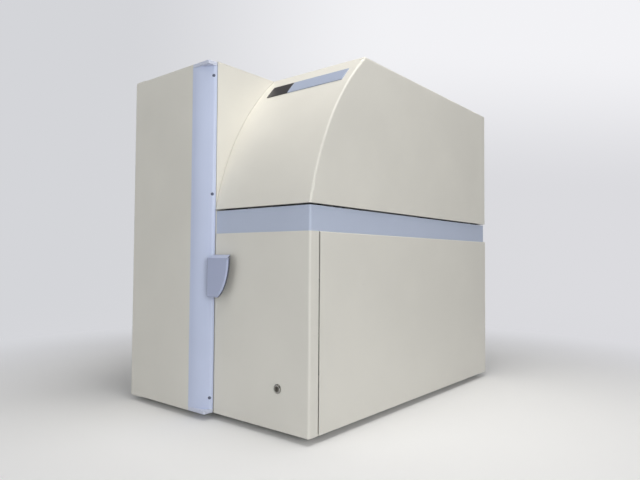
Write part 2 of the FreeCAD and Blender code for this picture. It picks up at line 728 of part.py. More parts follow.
def pivot_blocks():
    """Blocks in the door's corners that turn on the hinge pins."""
    half = PIVOT_BLOCK / 2
    left = X_LEFT + SHEET
    made = []
    for z0 in (DOOR_BOTTOM + SHEET, DOOR_TOP - SHEET - PIVOT_BLOCK_HEIGHT):
        z1 = z0 + PIVOT_BLOCK_HEIGHT
        block = box(left, left + PIVOT_BLOCK, Y_DOOR + SHEET, Y_FRONT - LINER, z0, z1)
        bore = rod(HINGE_PIN_R + SHAFT_FIT, (PIVOT_X, PIVOT_Y, z0 - 1), (PIVOT_X, PIVOT_Y, z1 + 1))
        made.append(block.cut(bore))
    return group(made)


def on_circle(centre, radius, turn):
    """Point of a level circle at an angle from its foremost point towards the right."""
    return centre + Vector(radius * math.sin(turn), -radius * math.cos(turn), 0)


def trim_section(inset):
    """Section of the door's edge trim: a wide crown that runs into a tighter shoulder."""
    corner = Vector(TRIM_LEFT, Y_FRONT, 0)
    across = TRIM_WIDTH - inset
    deep = DOOR_DEPTH - inset
    shoulder_r = TRIM_SHOULDER_R - inset
    crown_r = (across ** 2 + deep ** 2 - 2 * across * shoulder_r) / (2 * (deep - shoulder_r))
    crown = corner + Vector(0, crown_r - deep, 0)
    shoulder = corner + Vector(across - shoulder_r, 0, 0)
    side = math.pi / 2
    turn = math.atan2(across - shoulder_r, crown_r - deep)
    front = on_circle(crown, crown_r, 0)
    meet = on_circle(crown, crown_r, turn)
    wide = Part.Arc(front, on_circle(crown, crown_r, turn / 2), meet).toShape()
    end = on_circle(shoulder, shoulder_r, side)
    tight = Part.Arc(meet, on_circle(shoulder, shoulder_r, (turn + side) / 2), end).toShape()
    back = Part.LineSegment(end, corner).toShape()
    left = Part.LineSegment(corner, front).toShape()
    return Part.Face(Part.Wire([wide, tight, back, left]))


def trim_bar(inset, low, high):
    """Solid bar of the trim's section between two heights."""
    bar = trim_section(inset)
    bar.translate(Vector(0, 0, low))
    return bar.extrude(Vector(0, 0, high - low))


def trim_screw_places():
    """Middles of the trim screws on its shoulder and the outward direction of the surface there."""
    turn = math.radians(TRIM_SCREW_TURN)
    shoulder = Vector(X_SPLIT - TRIM_SHOULDER_R, Y_FRONT, Z_BASE)
    normal = Vector(math.sin(turn), -math.cos(turn), 0)
    surface = shoulder + normal * TRIM_SHOULDER_R
    heights = (TRIM_SCREW_LOW, TRIM_SCREW_MIDDLE * BODY_HEIGHT, BODY_HEIGHT - TRIM_SCREW_DROP)
    return [(surface + Vector(0, 0, height), normal) for height in heights]


def door_edge_trim():
    """Rounded extrusion along the door's opening edge, with counterbores for its screws."""
    low = DOOR_BOTTOM + CAP_HEIGHT
    high = DOOR_TOP - CAP_HEIGHT
    trim = trim_bar(0, low, high).cut(trim_bar(TRIM_WALL, low - 1, high + 1))
    for place, normal in trim_screw_places():
        seat = place - normal * TRIM_SCREW_HEAD
        trim = trim.cut(Part.makeCylinder(TRIM_SCREW_R + SHAFT_FIT, TRIM_SCREW_HEAD + 2, seat, normal))
    return trim


def trim_end_caps():
    """Square-cornered caps that close the trim at the top and bottom."""
    made = []
    cap_r = 3.0
    for low in (DOOR_BOTTOM, DOOR_TOP - CAP_HEIGHT):
        cap = box(TRIM_LEFT, X_SPLIT, Y_DOOR, Y_FRONT, low, low + CAP_HEIGHT)
        corner = edges_along(cap, Vector(0, 0, 1), lambda c: near(c.x, X_SPLIT) and near(c.y, Y_DOOR))
        made.append(cap.makeFillet(cap_r, corner))
    return group(made)


def trim_screws():
    """Screw heads in the trim's counterbores."""
    made = []
    for place, normal in trim_screw_places():
        seat = place - normal * TRIM_SCREW_HEAD
        made.append(Part.makeCylinder(TRIM_SCREW_R, TRIM_SCREW_HEAD, seat, normal))
    return group(made)


def handle_left():
    """Left edge of the pull's plate, just past the trim."""
    return X_SPLIT + HANDLE_OFFSET


def handle_outline(y):
    """Closed outline of the pull: flat top, straight left edge and a rounded right edge."""
    left = handle_left()
    right = left + HANDLE_WIDTH
    low = Z_BASE + HANDLE_BOTTOM
    high = Z_BASE + HANDLE_TOP
    tall = high - low
    start = Vector(right, y, high)
    turn = Vector(left + HANDLE_FLAT, y, low)
    belly = Vector(right, y, high - HANDLE_BULGE * tall)
    foot = Vector((right + turn.x) / 2, y, low + (1 - HANDLE_BULGE) * tall / 4)
    curve = Part.BezierCurve()
    curve.setPoles([start, belly, foot, turn])
    corner = Vector(left, y, low)
    top = Vector(left, y, high)
    under = Part.LineSegment(turn, corner).toShape()
    edge = Part.LineSegment(corner, top).toShape()
    crest = Part.LineSegment(top, start).toShape()
    return Part.Wire([curve.toShape(), under, edge, crest])


def handle_roof():
    """Sloping roof of the pull, from its front plate back towards the body, narrower at the back."""
    left = handle_left()
    right = left + HANDLE_WIDTH
    high = Z_BASE + HANDLE_TOP
    back = Y_FRONT - HANDLE_CLEAR
    low = high - 2 * HANDLE_ROOF_WALL
    plan = face_of([(left, Y_DOOR, low), (right, Y_DOOR, low), (right - HANDLE_ROOF_TAPER, back, low),
                    (left, back, low)])
    block = plan.extrude(Vector(0, 0, HANDLE_ROOF_RISE + 2 * HANDLE_ROOF_WALL))
    wall = HANDLE_ROOF_WALL
    slope = face_of([(left, Y_DOOR, high), (left, back, high + HANDLE_ROOF_RISE),
                     (left, back, high + HANDLE_ROOF_RISE - wall), (left, Y_DOOR, high - wall)])
    return block.common(slope.extrude(Vector(HANDLE_WIDTH, 0, 0)))


def door_handle():
    """Finger pull: a rounded plate with a sloping roof and a foot that seats on the trim."""
    left = handle_left()
    plate = Part.Face(handle_outline(Y_DOOR)).extrude(Vector(0, HANDLE_THICK, 0))
    rim = []
    for edge in plate.Edges:
        if all(near(v.Y, Y_DOOR) for v in edge.Vertexes) and edge.CenterOfMass.x > left + 1:
            if edge.CenterOfMass.z < Z_BASE + HANDLE_TOP - 1:
                rim.append(edge)
    plate = plate.makeChamfer(HANDLE_BEVEL, rim)
    inset = 3.0
    foot = box(X_SPLIT - HANDLE_SEAT, left + HANDLE_FOOT, Y_DOOR + HANDLE_THICK - 1, Y_FRONT - HANDLE_CLEAR,
               Z_BASE + HANDLE_BOTTOM + inset, Z_BASE + HANDLE_TOP)
    pull = fuse([plate, foot, handle_roof()])
    return pull.cut(trim_bar(-SHAFT_FIT, Z_BASE, Z_TOP))


def door_liner():
    """Flat inner skin that closes the back of the door."""
    right = X_SPLIT - TRIM_WALL - FIT
    return box(X_LEFT + SHEET, right, Y_FRONT - LINER, Y_FRONT, DOOR_BOTTOM + CAP_HEIGHT + FIT,
               DOOR_TOP - CAP_HEIGHT - FIT)


def door_gasket():
    """Flat foam seal round the door's back."""
    x0 = X_LEFT + SHEET + 2.0
    x1 = X_SPLIT - TRIM_WALL - 2.0
    z0 = DOOR_BOTTOM + CAP_HEIGHT + 4.0
    z1 = DOOR_TOP - CAP_HEIGHT - 4.0
    outer = box(x0, x1, Y_FRONT, Y_FRONT + GASKET_THICK, z0, z1)
    w = GASKET_WIDTH
    inner = box(x0 + w, x1 - w, Y_FRONT - 1, Y_FRONT + GASKET_THICK + 1, z0 + w, z1 - w)
    return outer.cut(inner)


def door_magnets():
    """Magnet catches on the tower's right wall, level with the door's opening edge."""
    depth = 12.0
    width = 14.0
    height = 40.0
    made = []
    for level in MAGNET_HEIGHTS:
        z = Z_BASE + level
        made.append(box(TOWER_INSIDE_RIGHT - width, TOWER_INSIDE_RIGHT, Y_TOWER, Y_TOWER + depth, z,
                        z + height))
    return group(made)


def lock_x():
    """Sideways place of the lock."""
    return X_RIGHT - LOCK_FROM_RIGHT


def lock_z():
    """Height of the lock."""
    return Z_BASE + LOCK_UP


def lock_bezel():
    """Round bezel and threaded barrel of the lock, clamped through the panel."""
    x = lock_x()
    z = lock_z()
    rim = rod(LOCK_BEZEL_R, (x, Y_FRONT - LOCK_BEZEL, z), (x, Y_FRONT, z))
    slope = 1.2
    front = [e for e in rim.Edges if near(e.CenterOfMass.y, Y_FRONT - LOCK_BEZEL) and e.Closed]
    rim = rim.makeChamfer(slope, front)
    barrel = rod(LOCK_R - SHAFT_FIT, (x, Y_FRONT, z), (x, Y_FRONT + LOCK_DEPTH, z))
    nut_r = LOCK_R + 3.0
    nut_thick = 4.0
    nut_points = []
    for corner in range(6):
        angle = math.radians(60 * corner)
        nut_points.append((x + nut_r * math.cos(angle), Y_FRONT + SHEET, z + nut_r * math.sin(angle)))
    nut = face_of(nut_points).extrude(Vector(0, nut_thick, 0))
    body = fuse([rim, barrel, nut])
    core_r = LOCK_CORE_R + SHAFT_FIT
    return body.cut(rod(core_r, (x, Y_FRONT - LOCK_BEZEL - 1, z), (x, Y_FRONT + LOCK_DEPTH + 1, z)))


def lock_plug():
    """Keyed plug that turns in the lock's barrel, with the cam arm that holds the panel shut."""
    x = lock_x()
    z = lock_z()
    sunk = 0.6
    face = Y_FRONT - LOCK_BEZEL + sunk
    y = Y_FRONT + LOCK_DEPTH + FIT
    plug = rod(LOCK_CORE_R, (x, face, z), (x, y, z))
    keyway = (1.1, 6.4, 9.0)
    plug = plug.cut(box(x - keyway[0] / 2, x + keyway[0] / 2, face - 1, face + keyway[2], z - keyway[1] / 2,
                        z + keyway[1] / 2))
    arm = box(x - CAM_WIDTH / 2, x + CAM_WIDTH / 2, y, y + CAM_THICK, z - CAM_LENGTH, z + CAM_WIDTH / 2)
    tip_r = 4.0
    arm = arm.makeFillet(tip_r, edges_along(arm, Vector(0, 1, 0), lambda c: True))
    return fuse([plug, arm])


def hood_centre():
    """Middle of the hood's curved front, from its lower front edge, its run and its radius."""
    rise = Z_TOP - Z_HOOD
    chord = math.hypot(HOOD_FRONT_RUN, rise)
    away = math.sqrt(HOOD_FRONT_RADIUS ** 2 - (chord / 2) ** 2)
    y = Y_FRONT + HOOD_FRONT_RUN / 2 + away * rise / chord
    z = Z_HOOD + rise / 2 - away * HOOD_FRONT_RUN / chord
    return y, z


def hood_point(radius, height=None, angle=None):
    """A point of the curved front, by its height or by its angle above the level."""
    y, z = hood_centre()
    if angle is None:
        angle = math.asin((height - z) / radius)
    return Vector(0, y - radius * math.cos(angle), z + radius * math.sin(angle))


def hood_section(inset, low):
    """Side outline of the hood: curved front, flat top and straight back, drawn in by the inset."""
    radius = HOOD_FRONT_RADIUS - inset
    top = Z_TOP - inset
    start = hood_point(radius, height=low)
    end = hood_point(radius, height=top)
    middle_height = (low + top) / 2
    middle = hood_point(radius, height=middle_height)
    back_top = Vector(0, Y_BACK - inset, top)
    back_low = Vector(0, Y_BACK - inset, low)
    edges = [Part.Arc(start, middle, end).toShape(), Part.LineSegment(end, back_top).toShape(),
             Part.LineSegment(back_top, back_low).toShape(), Part.LineSegment(back_low, start).toShape()]
    return Part.Face(Part.Wire(edges))


def hood_shell():
    """Light-tight hood: a shell with a curved front, rounded edges, a turned-in lip and a plate notch."""
    left = X_SPLIT + HOOD_SIDE_GAP
    outer = hood_section(0, Z_HOOD).extrude(Vector(X_RIGHT - left, 0, 0))
    outer.translate(Vector(left, 0, 0))
    crown = []
    for edge in outer.Edges:
        c = edge.CenterOfMass
        if near(c.x, X_RIGHT) and c.z > Z_HOOD + 1:
            crown.append(edge)
    outer = outer.makeFillet(HOOD_EDGE_R, crown)
    inner = hood_section(HOOD_WALL, Z_HOOD + HOOD_WALL).extrude(Vector(X_RIGHT - left - 2 * HOOD_WALL, 0, 0))
    inner.translate(Vector(left + HOOD_WALL, 0, 0))
    mouth_front = Y_FRONT + HOOD_WALL + HOOD_LIP
    mouth_back = HOOD_PIVOT_Y - HOOD_PIVOT_DROP
    mouth = box(left + HOOD_WALL, X_RIGHT - HOOD_LIP, mouth_front, Y_BACK - HOOD_WALL, Z_HOOD - 1,
                Z_HOOD + HOOD_WALL + 1)
    gate = box(left - 1, left + HOOD_WALL + 1, MAG_Y - MAG_HALF, MAG_Y + MAG_HALF, Z_HOOD - 1, gate_high())
    return outer.cut(inner).cut(mouth).cut(gate)


def hood_crest_angle():
    """Angle above the level at which the curved front meets the flat top."""
    return math.asin((Z_TOP - hood_centre()[1]) / HOOD_FRONT_RADIUS)


def badge(left, right):
    """Bare raised plate bent to the hood's front."""
    high = hood_crest_angle() - math.radians(BADGE_DROP_ANGLE)
    low = high - math.radians(BADGE_SPAN_ANGLE)
    middle = (low + high) / 2
    outer_r = HOOD_FRONT_RADIUS + BADGE_THICK
    a = hood_point(HOOD_FRONT_RADIUS, angle=low)
    b = hood_point(HOOD_FRONT_RADIUS, angle=middle)
    c = hood_point(HOOD_FRONT_RADIUS, angle=high)
    d = hood_point(outer_r, angle=high)
    e = hood_point(outer_r, angle=middle)
    f = hood_point(outer_r, angle=low)
    edges = [Part.Arc(a, b, c).toShape(), Part.LineSegment(c, d).toShape(), Part.Arc(d, e, f).toShape(),
             Part.LineSegment(f, a).toShape()]
    plate = Part.Face(Part.Wire(edges)).extrude(Vector(right - left, 0, 0))
    plate.translate(Vector(left, 0, 0))
    return plate


def hood_arm_places():
    """Middles of the two hood hinge arms across the chamber."""
    return (CHAMBER_X - HOOD_ARM_SPREAD / 2, CHAMBER_X + HOOD_ARM_SPREAD / 2)


def hood_hinge_arms():
    """Gooseneck arms from the hood's back wall down to the hinge pins."""
    made = []
    boss_r = HOOD_PIN_R + HOOD_BOSS_WALL
    leaf_thick = 4.0
    leaf_height = 70.0
    wall = Y_BACK - HOOD_WALL
    belt_back = Y_BACK - BELT_RECESS - SHEET - FIT
    for x in hood_arm_places():
        x0 = x - HOOD_ARM_WIDTH / 2
        x1 = x + HOOD_ARM_WIDTH / 2
        leaf = box(x0, x1, wall - leaf_thick, wall, Z_HOOD, Z_HOOD + leaf_height)
        neck = box(x0, x1, HOOD_PIVOT_Y - boss_r, wall, HOOD_PIVOT_Z, Z_HOOD + 2 * boss_r)
        neck = neck.cut(box(x0 - 1, x1 + 1, belt_back, Y_BACK, HOOD_PIVOT_Z - 1, Z_HOOD))
        boss = rod(boss_r, (x0, HOOD_PIVOT_Y, HOOD_PIVOT_Z), (x1, HOOD_PIVOT_Y, HOOD_PIVOT_Z))
        boss = boss.cut(box(x0 - 1, x1 + 1, belt_back, Y_BACK + boss_r, HOOD_PIVOT_Z - 2 * boss_r, Z_HOOD))
        arm = fuse([leaf, neck, boss])
        bore = rod(HOOD_PIN_R + SHAFT_FIT, (x0 - 1, HOOD_PIVOT_Y, HOOD_PIVOT_Z),
                   (x1 + 1, HOOD_PIVOT_Y, HOOD_PIVOT_Z))
        made.append(arm.cut(bore))
    return group(made)


def hood_hinge_bases():
    """Forked hinge bases on the deck's back edge, each with its pin."""
    cheek = 5.0
    rear = Y_BACK - BELT_RECESS - SHEET
    front = HOOD_PIVOT_Y - HOOD_PIVOT_DROP
    low = HOOD_PIVOT_Z - 2 * HOOD_PIVOT_DROP
    boss_r = HOOD_PIN_R + HOOD_BOSS_WALL
    made = []
    for x in hood_arm_places():
        x0 = x - HOOD_ARM_WIDTH / 2 - FIT
        x1 = x + HOOD_ARM_WIDTH / 2 + FIT
        floor = box(x0 - cheek, x1 + cheek, front, rear, low, HOOD_PIVOT_Z - boss_r - 1.0)
        cheeks = [box(x0 - cheek, x0, front, rear, low, HOOD_PIVOT_Z + boss_r),
                  box(x1, x1 + cheek, front, rear, low, HOOD_PIVOT_Z + boss_r)]
        pin = rod(HOOD_PIN_R, (x0 - cheek, HOOD_PIVOT_Y, HOOD_PIVOT_Z),
                  (x1 + cheek, HOOD_PIVOT_Y, HOOD_PIVOT_Z))
        made.append(fuse([floor] + cheeks + [pin]))
    return group(made)


def magazine_base():
    """Base of the plate magazine, with a shallow locating pocket underneath."""
    base = box(MAG_LEFT, MAG_RIGHT, MAG_Y - MAG_HALF, MAG_Y + MAG_HALF, MAG_BOTTOM, MAG_BOTTOM + MAG_BASE)
    return base.makeChamfer(MAG_CORNER, edges_along(base, Vector(0, 0, 1), lambda c: True))


def magazine_posts():
    """Four corner posts of the magazine."""
    made = []
    for x in (MAG_LEFT, MAG_RIGHT - MAG_POST):
        for side in (-1, 1):
            y0 = min(side * MAG_INSIDE, side * MAG_HALF)
            made.append(box(x, x + MAG_POST, MAG_Y + y0, MAG_Y + y0 + MAG_WALL, MAG_BOTTOM + MAG_BASE,
                            MAG_TOP))
    return group(made)


def magazine_ledges():
    """Ledges that carry the plates, one pair for each slot, between the posts."""
    made = []
    lead = 1.2
    for slot in range(SLOTS):
        top = FIRST_LEDGE + slot * SLOT_PITCH
        for side in (-1, 1):
            y0 = min(side * (MAG_INSIDE - LEDGE_REACH), side * MAG_HALF)
            ledge = box(MAG_LEFT + MAG_POST, MAG_RIGHT - MAG_POST, MAG_Y + y0,
                        MAG_Y + y0 + LEDGE_REACH + MAG_WALL, top - LEDGE, top)
            reach = MAG_INSIDE - LEDGE_REACH + 1
            inner = edges_along(ledge, Vector(0, 0, 1), lambda c: abs(c.y - MAG_Y) < reach)
            made.append(ledge.makeChamfer(lead, inner))
    return group(made)


def magazine_backstop():
    """Back wall of the magazine with a window at each slot."""
    stop = box(MAG_LEFT - LEDGE, MAG_LEFT, MAG_Y - MAG_HALF, MAG_Y + MAG_HALF, MAG_BOTTOM, MAG_TOP + MAG_BASE)
    window_high = SLOT_PITCH - 3 * LEDGE
    cuts = []
    for slot in range(SLOTS):
        z = FIRST_LEDGE + slot * SLOT_PITCH + LEDGE
        cuts.append(box(MAG_LEFT - LEDGE - 1, MAG_LEFT + 1, MAG_Y - MAG_INSIDE / 2, MAG_Y + MAG_INSIDE / 2, z,
                        z + window_high - LEDGE))
    return stop.cut(Part.makeCompound(cuts))


def magazine_top():
    """Top plate of the magazine with its carrying handle."""
    top = box(MAG_LEFT, MAG_RIGHT, MAG_Y - MAG_HALF, MAG_Y + MAG_HALF, MAG_TOP, MAG_TOP + MAG_BASE)
    top = top.makeChamfer(MAG_CORNER, edges_along(top, Vector(0, 0, 1), lambda c: True))
    grip_half = 42.0
    high = MAG_TOP + MAG_BASE + MAG_HANDLE_HEIGHT
    low = MAG_TOP + MAG_BASE
    bend_r = 12.0
    left = MAG_X - grip_half
    right = MAG_X + grip_half
    grip = box(left, right, MAG_Y - MAG_HANDLE_HALF, MAG_Y + MAG_HANDLE_HALF, low, high)
    across = Vector(0, 1, 0)
    grip = grip.makeFillet(bend_r, edges_along(grip, across, lambda c: near(c.z, high)))
    strap = 4.0
    reach = MAG_HANDLE_HALF + 1
    opening = box(left + strap, right - strap, MAG_Y - reach, MAG_Y + reach, low, high - strap)
    inside = edges_along(opening, across, lambda c: near(c.z, high - strap))
    opening = opening.makeFillet(bend_r - strap, inside)
    return fuse([top, grip.cut(opening)])


def platform_low():
    """Underside of the lift platform at rest."""
    return MAG_BOTTOM - PLATFORM


def lift_platform():
    """Platform that carries the magazine, with two ribs back to the carriage."""
    left = LIFT_X + CARRIAGE_WIDTH / 2
    low = platform_low()
    plate = box(left, MAG_RIGHT, MAG_Y - MAG_HALF, MAG_Y + MAG_HALF, low, low + PLATFORM)
    pieces = [plate]
    rib = 6.0
    drop = CARRIAGE_HEIGHT - PLATFORM
    for side in (-1, 1):
        y = MAG_Y + side * (MAG_INSIDE - rib)
        rib_face = face_of([(left, y, low), (MAG_RIGHT - FLANGE, y, low), (left, y, low - drop)])
        pieces.append(rib_face.extrude(Vector(0, rib, 0)))
    return fuse(pieces)


def rod_places():
    """Middles of the lift's two guide rods."""
    return [(LIFT_X, MAG_Y - LIFT_ROD_SPREAD), (LIFT_X, MAG_Y + LIFT_ROD_SPREAD)]


def lift_carriage():
    """Carriage block of the lift, bored for its bushes and the nut."""
    top = MAG_BOTTOM
    low = top - CARRIAGE_HEIGHT
    block = box(LIFT_X - CARRIAGE_WIDTH / 2, LIFT_X + CARRIAGE_WIDTH / 2, MAG_Y - CARRIAGE_DEPTH / 2,
                MAG_Y + CARRIAGE_DEPTH / 2, low, top)
    edge = 3.0
    block = block.makeChamfer(edge, edges_along(block, Vector(0, 0, 1), lambda c: c.x < LIFT_X))
    for x, y in rod_places():
        block = block.cut(rod(LIFT_ROD_R + BUSH_WALL, (x, y, low - 1), (x, y, top + 1)))
    return block.cut(rod(SCREW_R + BUSH_WALL, (LIFT_X, MAG_Y, low - 1), (LIFT_X, MAG_Y, top + 1)))


def lift_bushes():
    """Plain bushes on the guide rods and the nut on the lead screw."""
    top = MAG_BOTTOM
    low = top - CARRIAGE_HEIGHT
    made = []
    for x, y, inside in [(x, y, LIFT_ROD_R) for x, y in rod_places()] + [(LIFT_X, MAG_Y, SCREW_R)]:
        bush = rod(inside + BUSH_WALL, (x, y, low), (x, y, top))
        made.append(bush.cut(rod(inside + SHAFT_FIT, (x, y, low - 1), (x, y, top + 1))))
    return group(made)


def lift_frame():
    """Lift table over the motor and the block under the tower's top."""
    half_x = MOTOR / 2
    half_y = LIFT_ROD_SPREAD + LIFT_ROD_R + 6.0
    x0 = X_LEFT + SHEET
    x1 = LIFT_X + half_x
    leg = 8.0
    table_low = Z_FLOOR + LIFT_TABLE
    table = box(x0, x1, MAG_Y - half_y, MAG_Y + half_y, table_low, table_low + LIFT_BLOCK / 2)
    legs = [box(x0, x1, MAG_Y - half_y, MAG_Y - half_y + leg, Z_FLOOR, table_low),
            box(x0, x1, MAG_Y + half_y - leg, MAG_Y + half_y, Z_FLOOR, table_low)]
    lower = fuse([table] + legs)
    top = Z_TOP - SHEET
    upper = box(x0, x1 - MOTOR / 4, MAG_Y - half_y, MAG_Y + half_y, top - LIFT_BLOCK / 2, top)
    bore = Part.makeCylinder(SCREW_JOURNAL_R + SHAFT_FIT, BODY_HEIGHT, Vector(LIFT_X, MAG_Y, Z_FLOOR))
    return group([lower.cut(bore), upper.cut(bore)])


def lift_guide_rods():
    """Two ground guide rods between the lift's table and its top block."""
    low = Z_FLOOR + LIFT_TABLE + LIFT_BLOCK / 2
    high = Z_TOP - SHEET - LIFT_BLOCK / 2
    return group([rod(LIFT_ROD_R, (x, y, low), (x, y, high)) for x, y in rod_places()])


def lift_screw():
    """Lead screw of the lift with its turned-down journals."""
    low = Z_FLOOR + LIFT_TABLE + LIFT_BLOCK / 2 + FIT
    high = Z_TOP - SHEET - LIFT_BLOCK / 2 - FIT
    x = LIFT_X
    journal = LIFT_BLOCK / 2
    return fuse([rod(SCREW_R, (x, MAG_Y, low), (x, MAG_Y, high)),
                 rod(SCREW_JOURNAL_R, (x, MAG_Y, low - journal), (x, MAG_Y, low)),
                 rod(SCREW_JOURNAL_R, (x, MAG_Y, high), (x, MAG_Y, high + journal))])


def motor(x, y, top, height):
    """Square stepper motor with cut corners, its face upwards, with a round boss."""
    half = MOTOR / 2
    can = box(x - half, x + half, y - half, y + half, top - height, top)
    return can.makeChamfer(MOTOR_CORNER, edges_along(can, Vector(0, 0, 1), lambda c: True))


def drive_motors():
    """Stepper motors of the lift and the detector head, and the tray's round gearmotor."""
    lift = motor(LIFT_X, MAG_Y, Z_FLOOR + LIFT_TABLE, MOTOR_HEIGHT)
    px, py = pulley_places()[0]
    tray_low = Z_DECK - DECK_THICK - GEARMOTOR_HEIGHT
    tray = Part.makeCylinder(GEARMOTOR_R, GEARMOTOR_HEIGHT, Vector(px, py, tray_low))
    return group([lift, tray, head_motor()])


def pulley_places():
    """Middles of the tray's drive pulley, by the tower, and of its idler."""
    room = PULLEY_R + BELT_THICK + PULLEY_ROOM
    return [(CHAMBER_LEFT + room, MAG_Y), (CHAMBER_RIGHT - room, MAG_Y)]


def belt_low():
    """Lower edge of the tray's belt."""
    return FORK_TOP - TRAY_FORK - BELT_WIDTH - 2 * FIT


def tray_right():
    """Right end of the tray at rest."""
    return TRAY_HOME


def tray_left():
    """Tip of the fork at rest."""
    return PLATE_HOME - PLATE_LENGTH / 2 - FORK_TIP


def plate_tray():
    """Tray: a slotted fork that carries the plate, on a cross head with two slide blocks."""
    right = tray_right()
    head_left = right - TRAY_HEAD
    half = MAG_INSIDE - LEDGE_REACH - FORK_SIDE_CLEAR
    under = FORK_TOP - TRAY_FORK
    blade = box(tray_left(), head_left + 1, MAG_Y - half, MAG_Y + half, under, FORK_TOP)
    nose = 6.0
    blade = blade.makeChamfer(nose, edges_along(blade, Vector(0, 0, 1), lambda c: near(c.x, tray_left())))
    overhang = 2.0
    head_half = TRAY_RAIL_SPREAD + TRAY_RAIL / 2 + overhang
    head = box(head_left, right, MAG_Y - head_half, MAG_Y + head_half, under, FORK_TOP)
    stop_high = 4.0
    stop_half = half - TRAY_SIDE_BAR / 2
    stop = box(head_left - overhang, head_left + overhang, MAG_Y - stop_half, MAG_Y + stop_half, FORK_TOP,
               FORK_TOP + stop_high)
    lip_half = half - TRAY_SIDE_BAR
    lip_high = 1.5
    lip = box(tray_left(), tray_left() + FORK_TIP - PLATE_CLEAR, MAG_Y - lip_half, MAG_Y + lip_half, FORK_TOP,
              FORK_TOP + lip_high)
    blocks = []
    for side in (-1, 1):
        y = MAG_Y + side * TRAY_RAIL_SPREAD
        blocks.append(box(head_left, right, y - TRAY_RAIL / 2, y + TRAY_RAIL / 2, under - TRAY_BLOCK, under))
    window_left = tray_left() + TRAY_WINDOW_FRONT
    window_right = head_left - TRAY_WINDOW_BACK
    for side in (-1, 1):
        y0 = MAG_Y + min(side * TRAY_SPINE, side * lip_half)
        y1 = MAG_Y + max(side * TRAY_SPINE, side * lip_half)
        blade = blade.cut(box(window_left, window_right, y0, y1, under - 1, FORK_TOP + 1))
    clamp_right = pulley_places()[1][0] - PULLEY_RIM
    belt_side = MAG_Y + PULLEY_R + BELT_THICK + FIT
    clamp_thick = 4.0
    clamp = box(clamp_right - CLAMP_LENGTH, clamp_right, belt_side, belt_side + clamp_thick, belt_low(),
                under)
    return fuse([blade, head, stop, lip, clamp] + blocks)


def pulley(place):
    """Belt pulley with a lower flange that carries the belt."""
    x, y = place
    low = belt_low() - PULLEY_RIM
    lip_r = PULLEY_R + BELT_THICK / 2
    pieces = [Part.makeCylinder(PULLEY_R - FIT, BELT_WIDTH + PULLEY_RIM, Vector(x, y, low)),
              Part.makeCylinder(lip_r, PULLEY_RIM - FIT, Vector(x, y, low))]
    return fuse(pieces)


def tray_drive_pulley():
    """Pulley on the gearmotor's shaft, through the deck."""
    place = pulley_places()[0]
    x, y = place
    shaft = rod(PULLEY_SHAFT_R, (x, y, Z_DECK - DECK_THICK + FIT), (x, y, belt_low()))
    return fuse([pulley(place), shaft])


def tray_idler_pulley():
    """Pulley that turns on a fixed pin at the tray's far end."""
    place = pulley_places()[1]
    x, y = place
    return pulley(place).cut(Part.makeCylinder(PULLEY_SHAFT_R + SHAFT_FIT, Z_TOP, Vector(x, y, Z_DECK)))


def tray_belt():
    """Endless belt round both pulleys, and the idler's pin with its foot."""
    (x0, y), (x1, _) = pulley_places()
    outer_r = PULLEY_R + BELT_THICK

    def loop(radius, height, low):
        ends = [Part.makeCylinder(radius, height, Vector(x, y, low)) for x in (x0, x1)]
        return fuse(ends + [box(x0, x1, y - radius, y + radius, low, low + height)])

    belt = loop(outer_r, BELT_WIDTH, belt_low()).cut(loop(PULLEY_R, BELT_WIDTH + 2, belt_low() - 1))
    foot_r = PULLEY_R - 1.0
    foot_high = belt_low() - PULLEY_RIM - FIT - Z_DECK
    foot = Part.makeCylinder(foot_r, foot_high, Vector(x1, y, Z_DECK))
    pin = Part.makeCylinder(PULLEY_SHAFT_R, belt_low() + BELT_WIDTH - Z_DECK, Vector(x1, y, Z_DECK))
    return group([belt, fuse([foot, pin])])


def tray_rails():
    """Two rails on the deck for the tray, with a relieved waist."""
    made = []
    x0 = CHAMBER_LEFT + TRAY_END_GAP
    x1 = CHAMBER_RIGHT - TRAY_END_GAP
    waist = 2.0
    waist_low = Z_DECK + TRAY_RAIL / 3
    waist_high = Z_DECK + 2 * TRAY_RAIL / 3
    for side in (-1, 1):
        y = MAG_Y + side * TRAY_RAIL_SPREAD
        half = TRAY_RAIL / 2
        rail = box(x0, x1, y - half, y + half, Z_DECK, Z_DECK + TRAY_RAIL)
        for edge in (-1, 1):
            groove_y = y + edge * half
            rail = rail.cut(box(x0 - 1, x1 + 1, groove_y - waist, groove_y + waist, waist_low, waist_high))
        made.append(rail)
    return group(made)


def head_front():
    """Front end of the detector head at rest."""
    return MAG_Y - HEAD_LENGTH / 2


def head_supports():
    """Side walls that carry the head's rails over the tray, with lightening holes."""
    made = []
    y0 = head_front() - TRAY_END_GAP
    y1 = y0 + HEAD_RAIL_LENGTH
    for x in (CHAMBER_LEFT + TRAY_END_GAP, CHAMBER_RIGHT - TRAY_END_GAP - HEAD_SUPPORT):
        wall = box(x, x + HEAD_SUPPORT, y0, y1, Z_DECK, Z_DECK + HEAD_SUPPORT_HEIGHT)
        tunnel_half = MAG_HALF + 1.0
        tunnel = box(x - 1, x + HEAD_SUPPORT + 1, MAG_Y - tunnel_half, MAG_Y + tunnel_half, Z_DECK - 1,
                     FORK_TOP + SLOT_PITCH - LEDGE)
        made.append(wall.cut(tunnel))
    return group(made)


